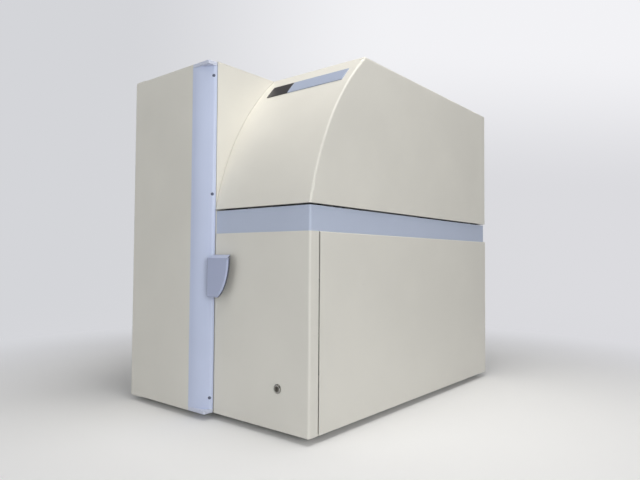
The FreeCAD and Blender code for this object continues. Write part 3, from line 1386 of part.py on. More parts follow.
def head_rails():
    """Linear rails of the detector head, and the bearing block of its lead screw."""
    made = []
    y0 = head_front() - TRAY_END_GAP
    y1 = y0 + HEAD_RAIL_LENGTH
    z0 = Z_DECK + HEAD_SUPPORT_HEIGHT
    for x in (CHAMBER_LEFT + TRAY_END_GAP, CHAMBER_RIGHT - TRAY_END_GAP - HEAD_SUPPORT):
        made.append(box(x, x + HEAD_SUPPORT, y0, y1, z0, z0 + HEAD_RAIL_HEIGHT))
    sx, sz = head_screw_place()
    half = 14.0
    rail_top = z0 + HEAD_RAIL_HEIGHT
    bearing = box(sx - half, CHAMBER_RIGHT - TRAY_END_GAP, y1 - LIFT_BLOCK / 2, y1, rail_top, sz + half)
    bearing = bearing.cut(rod(SCREW_JOURNAL_R + SHAFT_FIT, (sx, y0, sz), (sx, y1 + 1, sz)))
    return group([made[0], fuse([made[1], bearing])])


def head_plate_low():
    """Underside of the head's carriage plate."""
    return Z_DECK + HEAD_SUPPORT_HEIGHT + HEAD_RAIL_HEIGHT + FIT


def head_carriage():
    """Bridge plate of the detector head with a nut lug at its back."""
    x0 = CHAMBER_LEFT + TRAY_END_GAP
    x1 = CHAMBER_RIGHT - TRAY_END_GAP
    z0 = head_plate_low()
    y0 = head_front()
    y1 = y0 + HEAD_LENGTH
    plate = box(x0, x1, y0, y1, z0, z0 + HEAD_PLATE)
    corner = 6.0
    plate = plate.makeChamfer(corner, edges_along(plate, Vector(0, 0, 1), lambda c: True))
    lug_half = 12.0
    lug_thick = 12.0
    sx, sz = head_screw_place()
    lug = box(sx - lug_half, sx + lug_half, y1 - lug_thick, y1, z0 + HEAD_PLATE, sz + lug_half)
    bore = rod(SCREW_R + SHAFT_FIT, (sx, y0 - 1, sz), (sx, y1 + 1, sz))
    return fuse([plate, lug]).cut(bore)


def head_screw_place():
    """Sideways place and height of the head's lead screw."""
    inset = 12.0
    clear = 4.0
    x = CHAMBER_RIGHT - TRAY_END_GAP - HEAD_SUPPORT - inset
    return (x, head_plate_low() + HEAD_PLATE + SCREW_R + clear)


def head_screw():
    """Lead screw of the detector head with its journals."""
    sx, sz = head_screw_place()
    y0 = head_front() + HEAD_LENGTH - FLANGE
    y1 = head_front() - TRAY_END_GAP + HEAD_RAIL_LENGTH - LIFT_BLOCK / 2 - FIT
    return fuse([rod(SCREW_R, (sx, y0, sz), (sx, y1, sz)),
                 rod(SCREW_JOURNAL_R, (sx, y1, sz), (sx, y1 + LIFT_BLOCK / 2 + FIT, sz))])


def head_motor():
    """Motor of the head's screw, behind its bearing block."""
    sx, sz = head_screw_place()
    y1 = head_front() - TRAY_END_GAP + HEAD_RAIL_LENGTH
    half = MOTOR / 2
    x1 = CHAMBER_RIGHT - TRAY_END_GAP
    can = box(x1 - MOTOR, x1, y1, y1 + MOTOR_HEIGHT, sz - half, sz + half)
    return can.makeChamfer(MOTOR_CORNER, edges_along(can, Vector(0, 1, 0), lambda c: True))


def tube_places():
    """Middles of the light detectors over the plate."""
    places = []
    for column in range(TUBE_COLUMNS):
        for row in range(TUBE_ROWS):
            x = PLATE_HOME + (column - (TUBE_COLUMNS - 1) / 2) * TUBE_PITCH_X
            y = MAG_Y + (row - (TUBE_ROWS - 1) / 2) * TUBE_PITCH_Y
            places.append((x, y))
    return places


def detector_block():
    """Shield block under the head's plate, with a square light port below each detector."""
    edge = 2.0
    half_x = TUBE_COLUMNS * TUBE_PITCH_X / 2 + edge
    half_y = TUBE_ROWS * TUBE_PITCH_Y / 2
    top = head_plate_low()
    low = top - HEAD_BLOCK_HEIGHT
    block = box(PLATE_HOME - half_x, PLATE_HOME + half_x, MAG_Y - half_y, MAG_Y + half_y, low, top)
    port_half = 3.5
    port_depth = 6.0
    ports = []
    for x, y in tube_places():
        ports.append(box(x - port_half, x + port_half, y - port_half, y + port_half, low - 1,
                         low + port_depth))
    return block.cut(Part.makeCompound(ports))


def tube_top():
    """Height that the detectors reach under the hood's curved front."""
    y, z = hood_centre()
    inside = HOOD_FRONT_RADIUS - HOOD_WALL
    front = MAG_Y - (TUBE_ROWS - 1) * TUBE_PITCH_Y / 2 - TUBE_R
    return z + math.sqrt(inside ** 2 - (y - front) ** 2) - TUBE_HOOD_CLEAR


def detector_tubes():
    """Light detector tubes standing on the head's plate."""
    z = head_plate_low() + HEAD_PLATE
    return group([rod(TUBE_R, (x, y, z), (x, y, tube_top())) for x, y in tube_places()])


def power_supply():
    """Power supply box on the base plate, with cooling ribs along its top."""
    x1 = X_RIGHT - SHEET - FLANGE - POST - PANEL_GAP
    x0 = x1 - SUPPLY_WIDTH
    y1 = Y_BACK - POCKET_DEPTH - INLET_DEPTH - FLANGE
    y0 = y1 - SUPPLY_DEPTH
    case = box(x0, x1, y0, y1, Z_FLOOR, Z_FLOOR + SUPPLY_HEIGHT)
    rib = 3.0
    rib_pitch = 11.0
    ribs = int((SUPPLY_WIDTH - rib) / rib_pitch) + 1
    rib_height = 8.0
    made = [case]
    for index in range(ribs):
        x = x0 + index * rib_pitch
        made.append(box(x, x + rib, y0, y1, Z_FLOOR + SUPPLY_HEIGHT, Z_FLOOR + SUPPLY_HEIGHT + rib_height))
    return fuse(made)


def board_front():
    """Front end of the controller board."""
    return Y_FRONT + FRONT_RETURN + POST + FLANGE


def controller_board():
    """Controller board on its standoffs on the wall, with its larger parts."""
    x0 = X_SPLIT + STANDOFF
    y0 = board_front() + FLANGE
    z0 = Z_FLOOR + FLANGE
    board = box(x0, x0 + BOARD_THICK, y0, y0 + BOARD_LENGTH, z0, z0 + BOARD_HEIGHT)
    made = [board]
    chip_rows = 3
    chip_columns = 4
    chip = 34.0
    chip_high = 5.0
    column_pitch = BOARD_LENGTH / chip_columns
    row_pitch = BOARD_HEIGHT / chip_rows
    for row in range(chip_rows):
        for column in range(chip_columns):
            y = y0 + (column + 0.5) * column_pitch - chip / 2
            z = z0 + (row + 0.5) * row_pitch - chip / 2
            made.append(box(x0 + BOARD_THICK, x0 + BOARD_THICK + chip_high, y, y + chip, z, z + chip))
    inset = 8.0
    half = STANDOFF_HALF
    for y in (y0 + inset, y0 + BOARD_LENGTH - inset):
        for z in (z0 + inset, z0 + BOARD_HEIGHT - inset):
            made.append(box(X_SPLIT, x0, y - half, y + half, z - half, z + half))
    return fuse(made)


def build():
    """Every part of the reader under its name."""
    badge_split = X_SPLIT + BADGE_LEFT + BADGE_DARK_WIDTH
    parts["base_plate"] = base_plate()
    parts["feet"] = feet()
    parts["tower_left_panel"] = tower_left_panel()
    parts["tower_top_panel"] = tower_top_panel()
    parts["tower_right_wall"] = tower_right_wall()
    parts["tower_bulkhead"] = tower_bulkhead()
    parts["lower_front_panel"] = lower_front_panel()
    parts["lower_side_panel"] = lower_side_panel()
    parts["blue_belt"] = blue_belt()
    parts["deck_plate"] = deck_plate()
    parts["frame_posts"] = frame_posts()
    parts["back_panel"] = back_panel()
    parts["connector_pocket"] = connector_pocket()
    parts["mains_inlet"] = mains_inlet()
    parts["power_rocker"] = power_rocker()
    parts["data_ports"] = data_ports()
    parts["fan_housing"] = fan_housing()
    parts["fan_rotor"] = fan_rotor()
    parts["hinge_plates"] = hinge_plates()
    parts["door_panel"] = door_panel()
    parts["pivot_blocks"] = pivot_blocks()
    parts["door_edge_trim"] = door_edge_trim()
    parts["trim_end_caps"] = trim_end_caps()
    parts["trim_screws"] = trim_screws()
    parts["door_handle"] = door_handle()
    parts["door_liner"] = door_liner()
    parts["door_gasket"] = door_gasket()
    parts["door_magnets"] = door_magnets()
    parts["lock_bezel"] = lock_bezel()
    parts["lock_plug"] = lock_plug()
    parts["hood_shell"] = hood_shell()
    parts["badge_dark"] = badge(X_SPLIT + BADGE_LEFT, badge_split)
    parts["badge_blue"] = badge(badge_split, X_SPLIT + BADGE_LEFT + BADGE_WIDTH)
    parts["hood_hinge_arms"] = hood_hinge_arms()
    parts["hood_hinge_bases"] = hood_hinge_bases()
    parts["magazine_base"] = magazine_base()
    parts["magazine_posts"] = magazine_posts()
    parts["magazine_ledges"] = magazine_ledges()
    parts["magazine_backstop"] = magazine_backstop()
    parts["magazine_top"] = magazine_top()
    parts["lift_platform"] = lift_platform()
    parts["lift_carriage"] = lift_carriage()
    parts["lift_bushes"] = lift_bushes()
    parts["lift_frame"] = lift_frame()
    parts["lift_guide_rods"] = lift_guide_rods()
    parts["lift_screw"] = lift_screw()
    parts["drive_motors"] = drive_motors()
    parts["plate_tray"] = plate_tray()
    parts["tray_belt"] = tray_belt()
    parts["tray_drive_pulley"] = tray_drive_pulley()
    parts["tray_idler_pulley"] = tray_idler_pulley()
    parts["tray_rails"] = tray_rails()
    parts["head_supports"] = head_supports()
    parts["head_rails"] = head_rails()
    parts["head_carriage"] = head_carriage()
    parts["head_screw"] = head_screw()
    parts["detector_block"] = detector_block()
    parts["detector_tubes"] = detector_tubes()
    parts["power_supply"] = power_supply()
    parts["controller_board"] = controller_board()


build()
os.makedirs("parts", exist_ok=True)
for name, shape in parts.items():
    shape.exportStep("parts/" + name + ".step")
    solids = len(shape.Solids)
    bounds = shape.optimalBoundingBox()
    print(name, "solids", solids, "volume", round(shape.Volume, 1), "valid", shape.isValid(),
          "z", round(bounds.ZMin, 2), round(bounds.ZMax, 2))
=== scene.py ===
import logging
import math
from dataclasses import dataclass, field
from enum import Enum
from typing import Any, Iterable, Optional, Sequence, Union

import bmesh
import bpy
from mathutils import Matrix, Vector
from mathutils.bvhtree import BVHTree


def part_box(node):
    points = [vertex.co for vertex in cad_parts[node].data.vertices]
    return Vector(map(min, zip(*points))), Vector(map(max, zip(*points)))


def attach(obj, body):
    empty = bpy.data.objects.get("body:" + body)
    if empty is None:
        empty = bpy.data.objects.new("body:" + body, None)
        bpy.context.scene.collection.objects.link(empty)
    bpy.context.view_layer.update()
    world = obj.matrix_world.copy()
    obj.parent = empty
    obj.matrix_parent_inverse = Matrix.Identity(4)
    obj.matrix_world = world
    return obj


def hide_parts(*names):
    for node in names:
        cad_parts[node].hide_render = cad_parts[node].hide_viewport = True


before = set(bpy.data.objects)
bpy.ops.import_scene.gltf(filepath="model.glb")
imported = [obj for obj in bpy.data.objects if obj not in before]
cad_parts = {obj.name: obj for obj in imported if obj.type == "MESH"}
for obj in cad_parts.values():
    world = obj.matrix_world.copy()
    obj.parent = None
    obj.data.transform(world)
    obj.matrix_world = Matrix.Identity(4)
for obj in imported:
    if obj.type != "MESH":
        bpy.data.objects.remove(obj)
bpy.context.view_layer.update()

# Looks of the bench microplate reader: finishes, rounded panel edges, and the pieces that need finer form than
# their solids, such as motors, threads, toothed belt, screws and feet. Metres, +Z up, the front looks along -Y.

LOG = logging.getLogger("reader")
MM = 0.001
MERGE = 0.002 * MM
FLAT_ANGLE = math.radians(0.6)
BEVEL_ANGLE = math.radians(38)
BORE_SIDES = 24

Colour = tuple[float, float, float]
Place = tuple[float, float, float]
Outline = Sequence[tuple[float, float]]
Box = tuple[Vector, Vector]


def screen(red: int, green: int, blue: int) -> Colour:
    """Turns screen values into a linear colour.

    Args:
        red: Red from 0 to 255.
        green: Green from 0 to 255.
        blue: Blue from 0 to 255.

    Returns:
        The linear colour.
    """
    return tuple(((c / 255 + 0.055) / 1.055) ** 2.4 for c in (red, green, blue))


def lighter(colour: Colour, share: float) -> Colour:
    """Scales a colour, kept below white.

    Args:
        colour: The colour.
        share: What it is multiplied by.

    Returns:
        The new colour.
    """
    return tuple(min(1.0, c * share) for c in colour)


class Value:
    """One number over a surface. Arithmetic on it adds Math nodes."""

    def __init__(self, shader: "Shader", socket: bpy.types.NodeSocket) -> None:
        """Wraps a socket of a shader's tree."""
        self.shader = shader
        self.socket = socket

    def __add__(self, other: "Number") -> "Value":
        """Adds."""
        return self.shader.math("ADD", self, other)

    def __sub__(self, other: "Number") -> "Value":
        """Subtracts."""
        return self.shader.math("SUBTRACT", self, other)

    def __rsub__(self, other: "Number") -> "Value":
        """Subtracts from the right."""
        return self.shader.math("SUBTRACT", other, self)

    def __mul__(self, other: "Number") -> "Value":
        """Multiplies."""
        return self.shader.math("MULTIPLY", self, other)

    def __pow__(self, other: "Number") -> "Value":
        """Raises to a power."""
        return self.shader.math("POWER", self, other)

    __radd__ = __add__
    __rmul__ = __mul__

    def between(self, low: float, high: float) -> "Value":
        """Goes smoothly from 0 at low to 1 at high.

        Args:
            low: Where it leaves 0.
            high: Where it reaches 1.

        Returns:
            The mask.
        """
        made = self.shader.node("ShaderNodeMapRange", {"interpolation_type": "SMOOTHSTEP"},
                                {"Value": self, "From Min": low, "From Max": high})
        return Value(self.shader, made.outputs["Result"])


Number = Union[float, Value]


class Shader:
    """The node tree of one material."""

    def __init__(self, name: str) -> None:
        """Makes an empty material with a Principled shader.

        Args:
            name: The material's name.
        """
        self.material = bpy.data.materials.new(name)
        self.material.use_nodes = True
        self.tree = self.material.node_tree
        self.tree.nodes.clear()
        self.surface = self.node("ShaderNodeBsdfPrincipled")
        self.out = self.node("ShaderNodeOutputMaterial")
        self.tree.links.new(self.surface.outputs[0], self.out.inputs["Surface"])

    def node(self, kind: str, settings: Optional[dict[str, Any]] = None,
             inputs: Optional[dict[Union[str, int], Any]] = None) -> bpy.types.Node:
        """Adds a node.

        Args:
            kind: The node's type.
            settings: Its own settings, set first; "stops" gives a ramp's places and grey levels.
            inputs: Values or links of its sockets.

        Returns:
            The node.
        """
        made = self.tree.nodes.new(kind)
        for key, value in (settings or {}).items():
            if key == "stops":
                ramp = made.color_ramp
                while len(ramp.elements) < len(value):
                    ramp.elements.new(0.5)
                for element, (place, level) in zip(ramp.elements, value):
                    element.position = place
                    element.color = (level, level, level, 1.0)
            else:
                setattr(made, key, value)
        for key, value in (inputs or {}).items():
            self.feed(made.inputs[key], value)
        return made

    def feed(self, socket: bpy.types.NodeSocket, value: Any) -> None:
        """Gives a socket a link or a value.

        Args:
            socket: The socket.
            value: A value, a link, a colour or a number.
        """
        if isinstance(value, Value):
            value = value.socket
        if isinstance(value, bpy.types.NodeSocket):
            self.tree.links.new(value, socket)
        elif isinstance(value, tuple) and len(value) == 3 and socket.type == "RGBA":
            socket.default_value = (*value, 1.0)
        else:
            socket.default_value = value

    def set(self, **values: Any) -> None:
        """Feeds the Principled shader's sockets, named with _ for a space."""
        for key, value in values.items():
            self.feed(self.surface.inputs[key.replace("_", " ")], value)

    def math(self, operation: str, first: Number, second: Number = 0.0) -> Value:
        """Adds a Math node.

        Args:
            operation: The operation.
            first: The first value.
            second: The second value.

        Returns:
            The result.
        """
        made = self.node("ShaderNodeMath", {"operation": operation}, {0: first, 1: second})
        return Value(self, made.outputs[0])

    def blend(self, mask: Number, first: Any, second: Any) -> bpy.types.NodeSocket:
        """Mixes two colours.

        Args:
            mask: 0 for the first and 1 for the second.
            first: A colour or a link.
            second: A colour or a link.

        Returns:
            The mixed colour's socket.
        """
        made = self.node("ShaderNodeMix", {"data_type": "RGBA"}, {0: mask, 6: first, 7: second})
        return made.outputs[2]

    def place(self, stretch: Sequence[float] = (1.0, 1.0, 1.0)) -> bpy.types.NodeSocket:
        """Object coordinates.

        Args:
            stretch: Their scale along each axis.

        Returns:
            The socket.
        """
        spot = self.node("ShaderNodeTexCoord").outputs["Object"]
        if tuple(stretch) == (1.0, 1.0, 1.0):
            return spot
        return self.node("ShaderNodeMapping", None, {"Vector": spot, "Scale": tuple(stretch)}).outputs["Vector"]

    def noise(self, size: float, detail: float = 2.0, stretch: Sequence[float] = (1.0, 1.0, 1.0)) -> Value:
        """Cloudy noise.

        Args:
            size: The size of its patches in metres.
            detail: Its finer octaves.
            stretch: Scale along each axis.

        Returns:
            The noise, from 0 to 1.
        """
        made = self.node("ShaderNodeTexNoise", {"noise_dimensions": "3D"},
                         {"Vector": self.place(stretch), "Scale": 1.0 / size, "Detail": detail})
        return Value(self, made.outputs["Fac"])

    def cells(self, size: float, feature: str = "DISTANCE_TO_EDGE") -> Value:
        """Voronoi cells of a size in metres."""
        made = self.node("ShaderNodeTexVoronoi", {"feature": feature}, {"Vector": self.place(), "Scale": 1.0 / size})
        return Value(self, made.outputs["Distance"])

    def axis(self, name: str) -> Value:
        """One Object coordinate, X, Y or Z."""
        made = self.node("ShaderNodeSeparateXYZ", None, {"Vector": self.place()})
        return Value(self, made.outputs[name])

    def bump(self, height: Value, depth: float, strength: float = 1.0) -> None:
        """Feeds the shader's Normal from a height.

        Args:
            height: The height from 0 to 1.
            depth: The real depth of a full step, in metres.
            strength: How much of it shows.
        """
        made = self.node("ShaderNodeBump", None, {"Height": height, "Distance": depth, "Strength": strength})
        self.feed(self.surface.inputs["Normal"], made.outputs["Normal"])


@dataclass(frozen=True)
class Finish:
    """A finish of the reader: its name, main colour and roughness."""

    name: str
    colour: Colour
    roughness: float

    def material(self) -> bpy.types.Material:
        """Finds the material, or makes it the first time.

        Returns:
            The material.
        """
        found = bpy.data.materials.get(self.name)
        if found is None:
            shader = Shader(self.name)
            self.dress(shader)
            found = shader.material
        return found

    def dress(self, shader: Shader) -> None:
        """Builds the shader.

        Args:
            shader: The material's empty shader.
        """
        raise NotImplementedError


@dataclass(frozen=True)
class PowderCoat(Finish):
    """Stoved enamel on sheet metal: a faint orange peel, uneven age and a little hand wear."""

    peel: float = 1.1 * MM
    peel_depth: float = 0.012 * MM
    patch: float = 180 * MM
    patch_share: float = 0.045

    def dress(self, shader: Shader) -> None:
        """Builds the shader.

        Args:
            shader: The material's empty shader.
        """
        cloud = shader.noise(self.patch, 3.0).between(0.3, 0.7)
        aged = shader.blend(cloud, lighter(self.colour, 1.0 - self.patch_share), self.colour)
        specks = shader.noise(9 * MM, 6.0).between(0.63, 0.78)
        shader.set(Base_Color=shader.blend(specks * 0.10, aged, lighter(self.colour, 0.72)))
        wear = shader.noise(45 * MM, 4.0)
        shader.set(Roughness=self.roughness - 0.06 + wear * 0.12)
        peel = shader.noise(self.peel, 1.0)
        shader.bump(peel + shader.noise(24 * MM, 1.0) * 3.0, self.peel_depth)
        shader.set(Specular_IOR_Level=0.42)


@dataclass(frozen=True)
class SweepPaper(PowderCoat):
    """Backdrop paper: lit near the reader. Further off, to the camera, it shows painted light: darker to the left,
    lighter to the right, and a painted glow high up.
    """

    seen: Colour = screen(246, 246, 246)
    # left and right: painted falloff of the far backdrop, darker to the left and lighter to the right. The glow
    # fields: a painted patch of light high up on it.
    left: Colour = screen(212, 213, 217)
    right: Colour = screen(219, 219, 223)
    painted_glow: Colour = screen(246, 246, 249)
    near: float = 0.5
    far: float = 1.35
    half_width: float = 2.0
    turn: float = 39.36
    painted_glow_across: tuple[float, float] = (-1.6, 0.6)
    painted_glow_rise: tuple[float, float] = (0.8, 2.0)
    painted_glow_share: float = 0.85

    def dress(self, shader: Shader) -> None:
        """Builds the shader.

        Args:
            shader: The material's empty shader.
        """
        super().dress(shader)
        camera = Value(shader, shader.node("ShaderNodeLightPath").outputs["Is Camera Ray"])
        shader.set(Base_Color=shader.blend(camera, self.colour, self.seen))
        x, y = shader.axis("X"), shader.axis("Y")
        away = ((x * x + y * y) ** 0.5).between(self.near, self.far)
        angle = math.radians(self.turn)
        across = x * math.cos(angle) + y * math.sin(angle)
        # Painted light: falloff across the far backdrop, and a painted patch of light high up on it.
        tone = shader.blend(across.between(-self.half_width, self.half_width), self.left, self.right)
        painted_glow_mask = across.between(*self.painted_glow_across) * shader.axis("Z").between(*self.painted_glow_rise)
        wall = shader.node("ShaderNodeEmission", None,
                           {"Color": shader.blend(painted_glow_mask * self.painted_glow_share, tone, self.painted_glow)})
        mixed = shader.node("ShaderNodeMixShader", None,
                            {0: camera * away, 1: shader.surface.outputs[0], 2: wall.outputs[0]})
        shader.feed(shader.out.inputs["Surface"], mixed.outputs[0])


@dataclass(frozen=True)
class MouldedPlastic(Finish):
    """Structural plastic with a fine eroded grain."""

    grain: float = 0.55 * MM
    grain_depth: float = 0.02 * MM

    def dress(self, shader: Shader) -> None:
        """Builds the shader.

        Args:
            shader: The material's empty shader.
        """
        cloud = shader.noise(140 * MM, 3.0).between(0.3, 0.72)
        tone = shader.blend(cloud, lighter(self.colour, 0.955), self.colour)
        specks = shader.noise(6 * MM, 6.0).between(0.64, 0.8)
        shader.set(Base_Color=shader.blend(specks * 0.08, tone, lighter(self.colour, 0.7)))
        shader.set(Roughness=self.roughness - 0.05 + shader.noise(30 * MM, 4.0) * 0.10)
        shader.bump(shader.cells(self.grain) * 0.8 + shader.noise(self.grain * 2, 2.0), self.grain_depth)
        shader.set(Specular_IOR_Level=0.38)


class Grain(Enum):
    """The way a metal's fine lines run."""

    ALONG_X = (0.02, 1.0, 1.0)
    ALONG_Y = (1.0, 0.02, 1.0)
    ALONG_Z = (1.0, 1.0, 0.02)
    NONE = (1.0, 1.0, 1.0)


@dataclass(frozen=True)
class WorkedMetal(Finish):
    """Drawn, brushed or ground metal with lines in one direction and stray scratches."""

    grain: Grain = Grain.ALONG_Z
    line: float = 0.5 * MM
    depth: float = 0.006 * MM
    bare: float = 1.0

    def dress(self, shader: Shader) -> None:
        """Builds the shader.

        Args:
            shader: The material's empty shader.
        """
        lines = shader.noise(self.line, 3.0, self.grain.value)
        tarnish = shader.noise(35 * MM, 4.0).between(0.35, 0.75)
        tone = shader.blend(tarnish * 0.35, self.colour, lighter(self.colour, 0.78))
        shader.set(Base_Color=shader.blend(lines * 0.25, tone, lighter(self.colour, 0.82)))
        shader.set(Metallic=self.bare)
        shader.set(Roughness=self.roughness - 0.08 + lines * 0.12 + tarnish * 0.06)
        scratches = shader.noise(2.2 * MM, 5.0, tuple(s ** 0.5 for s in self.grain.value)).between(0.6, 0.64)
        shader.bump(lines + scratches * 0.5, self.depth)


@dataclass(frozen=True)
class AnodisedTrim(Finish):
    """Tinted extruded aluminium: a satin skin with faint draw lines along its length."""

    def dress(self, shader: Shader) -> None:
        """Builds the shader.

        Args:
            shader: The material's empty shader.
        """
        draw = shader.noise(1.6 * MM, 3.0, Grain.ALONG_Z.value)
        cloud = shader.noise(120 * MM, 3.0).between(0.3, 0.7)
        tone = shader.blend(cloud, lighter(self.colour, 0.96), self.colour)
        shader.set(Base_Color=shader.blend(draw * 0.12, tone, lighter(self.colour, 1.12)))
        shader.set(Roughness=self.roughness - 0.04 + draw * 0.08)
        shader.bump(draw + shader.noise(0.5 * MM, 2.0) * 0.6, 0.008 * MM)
        shader.set(Specular_IOR_Level=0.45)


@dataclass(frozen=True)
class SoftRubber(Finish):
    """Rubber or foam: matte, pitted and dusty."""

    pore: float = 0.9 * MM
    pore_depth: float = 0.08 * MM

    def dress(self, shader: Shader) -> None:
        """Builds the shader.

        Args:
            shader: The material's empty shader.
        """
        dust = shader.noise(14 * MM, 5.0).between(0.45, 0.8)
        shader.set(Base_Color=shader.blend(dust * 0.35, self.colour, lighter(screen(120, 118, 112), 0.8)))
        shader.set(Roughness=self.roughness - 0.06 + shader.noise(5 * MM, 3.0) * 0.1)
        shader.bump(shader.cells(self.pore) + shader.noise(self.pore * 3, 3.0) * 0.7, self.pore_depth)
        shader.set(Specular_IOR_Level=0.25)


@dataclass(frozen=True)
class CircuitBoard(Finish):
    """Solder mask with tracks, pads and dark component bodies above it."""

    track: float = 2.2 * MM
    body_face: float = 16.2 * MM

    def dress(self, shader: Shader) -> None:
        """Builds the shader.

        Args:
            shader: The material's empty shader.
        """
        tracks = shader.cells(self.track * 3).between(0.02, 0.07)
        pads = shader.cells(self.track, "F1").between(0.0, 0.3)
        mask = shader.blend(tracks, lighter(self.colour, 1.7), self.colour)
        mask = shader.blend((1.0 - pads) * 0.25, mask, screen(190, 178, 140))
        parts = shader.axis("X").between(self.body_face, self.body_face + 0.2 * MM)
        shader.set(Base_Color=shader.blend(parts, mask, screen(32, 32, 34)))
        shader.set(Roughness=self.roughness + parts * 0.25)
        shader.bump(tracks + parts, 0.03 * MM)


PAINT = screen(232, 229, 220)
PALE_PAINT = PowderCoat("enamel_warm_white", PAINT, 0.46)
HOOD_SKIN = MouldedPlastic("moulded_warm_white", PAINT, 0.44)
HOOD_INSIDE = PowderCoat("light_trap_black", screen(30, 30, 32), 0.78, peel=0.5 * MM, peel_depth=0.05 * MM)
BELT_PAINT = PowderCoat("enamel_belt_blue", screen(196, 205, 225), 0.42)
TRIM_SKIN = AnodisedTrim("anodised_trim_blue", screen(204, 213, 238), 0.36)
CAP_SKIN = MouldedPlastic("moulded_cap_blue", screen(214, 219, 236), 0.45)
HANDLE_SKIN = MouldedPlastic("moulded_pull_blue", screen(184, 192, 219), 0.40)
# Painted shade: the dark colour of the pull's side walls stands for the shadow in the gap behind the pull.
PULL_PAINTED_SHADE = MouldedPlastic("moulded_pull_back", screen(84, 88, 102), 0.5)
BADGE_DARK = MouldedPlastic("badge_plate_dark", screen(66, 64, 66), 0.34, grain_depth=0.006 * MM)
BADGE_BLUE = MouldedPlastic("badge_plate_blue", screen(174, 184, 206), 0.34, grain_depth=0.006 * MM)
DARK_PLASTIC = MouldedPlastic("moulded_dark", screen(44, 44, 47), 0.5)
DARK_PAINT = PowderCoat("enamel_dark", screen(52, 53, 56), 0.55)
BARE_ALUMINIUM = WorkedMetal("milled_aluminium", screen(196, 198, 200), 0.38, Grain.ALONG_X)
RAIL_STEEL = WorkedMetal("ground_steel", screen(205, 205, 206), 0.2, Grain.ALONG_Z, line=0.3 * MM)
PLATE_STEEL = WorkedMetal("zinc_plated_steel", screen(178, 180, 182), 0.34, Grain.NONE, line=4 * MM)
LOCK_CHROME = WorkedMetal("nickel_plate", screen(178, 176, 170), 0.2, Grain.NONE, line=1.5 * MM)
KEY_DARK = WorkedMetal("worn_lock_core", screen(120, 116, 108), 0.32, Grain.ALONG_Z, line=0.6 * MM)
BRASS = WorkedMetal("turned_brass", screen(186, 150, 92), 0.3, Grain.NONE, line=0.6 * MM)
BLACK_ANODISED = WorkedMetal("black_anodised", screen(46, 46, 48), 0.42, Grain.ALONG_X, bare=0.6)
FOOT_RUBBER = SoftRubber("foot_rubber", screen(38, 38, 39), 0.8)
SEAL_FOAM = SoftRubber("seal_foam", screen(48, 48, 50), 0.9, pore=0.7 * MM, pore_depth=0.15 * MM)
BELT_RUBBER = SoftRubber("belt_rubber", screen(34, 34, 36), 0.6, pore=0.4 * MM, pore_depth=0.02 * MM)
BOARD_GREEN = CircuitBoard("solder_mask_green", screen(38, 96, 62), 0.35)
MOTOR_CAST = PowderCoat("cast_motor_black", screen(48, 48, 51), 0.5, peel=0.8 * MM, peel_depth=0.03 * MM)
CORE_STEEL = WorkedMetal("lamination_steel", screen(120, 118, 114), 0.45, Grain.NONE, line=3 * MM)
SCREW_BLACK = WorkedMetal("black_screw", screen(50, 50, 53), 0.36, Grain.NONE, line=2 * MM, bare=0.7)
SCREW_DARK = WorkedMetal("blued_screw", screen(108, 113, 134), 0.4, Grain.NONE, bare=0.5)


def linked(name: str, data: bpy.types.ID) -> bpy.types.Object:
    """Adds an object to the scene.

    Args:
        name: Its name.
        data: Its mesh, lamp or camera.

    Returns:
        The object.
    """
    made = bpy.data.objects.new(name, data)
    bpy.context.scene.collection.objects.link(made)
    return made


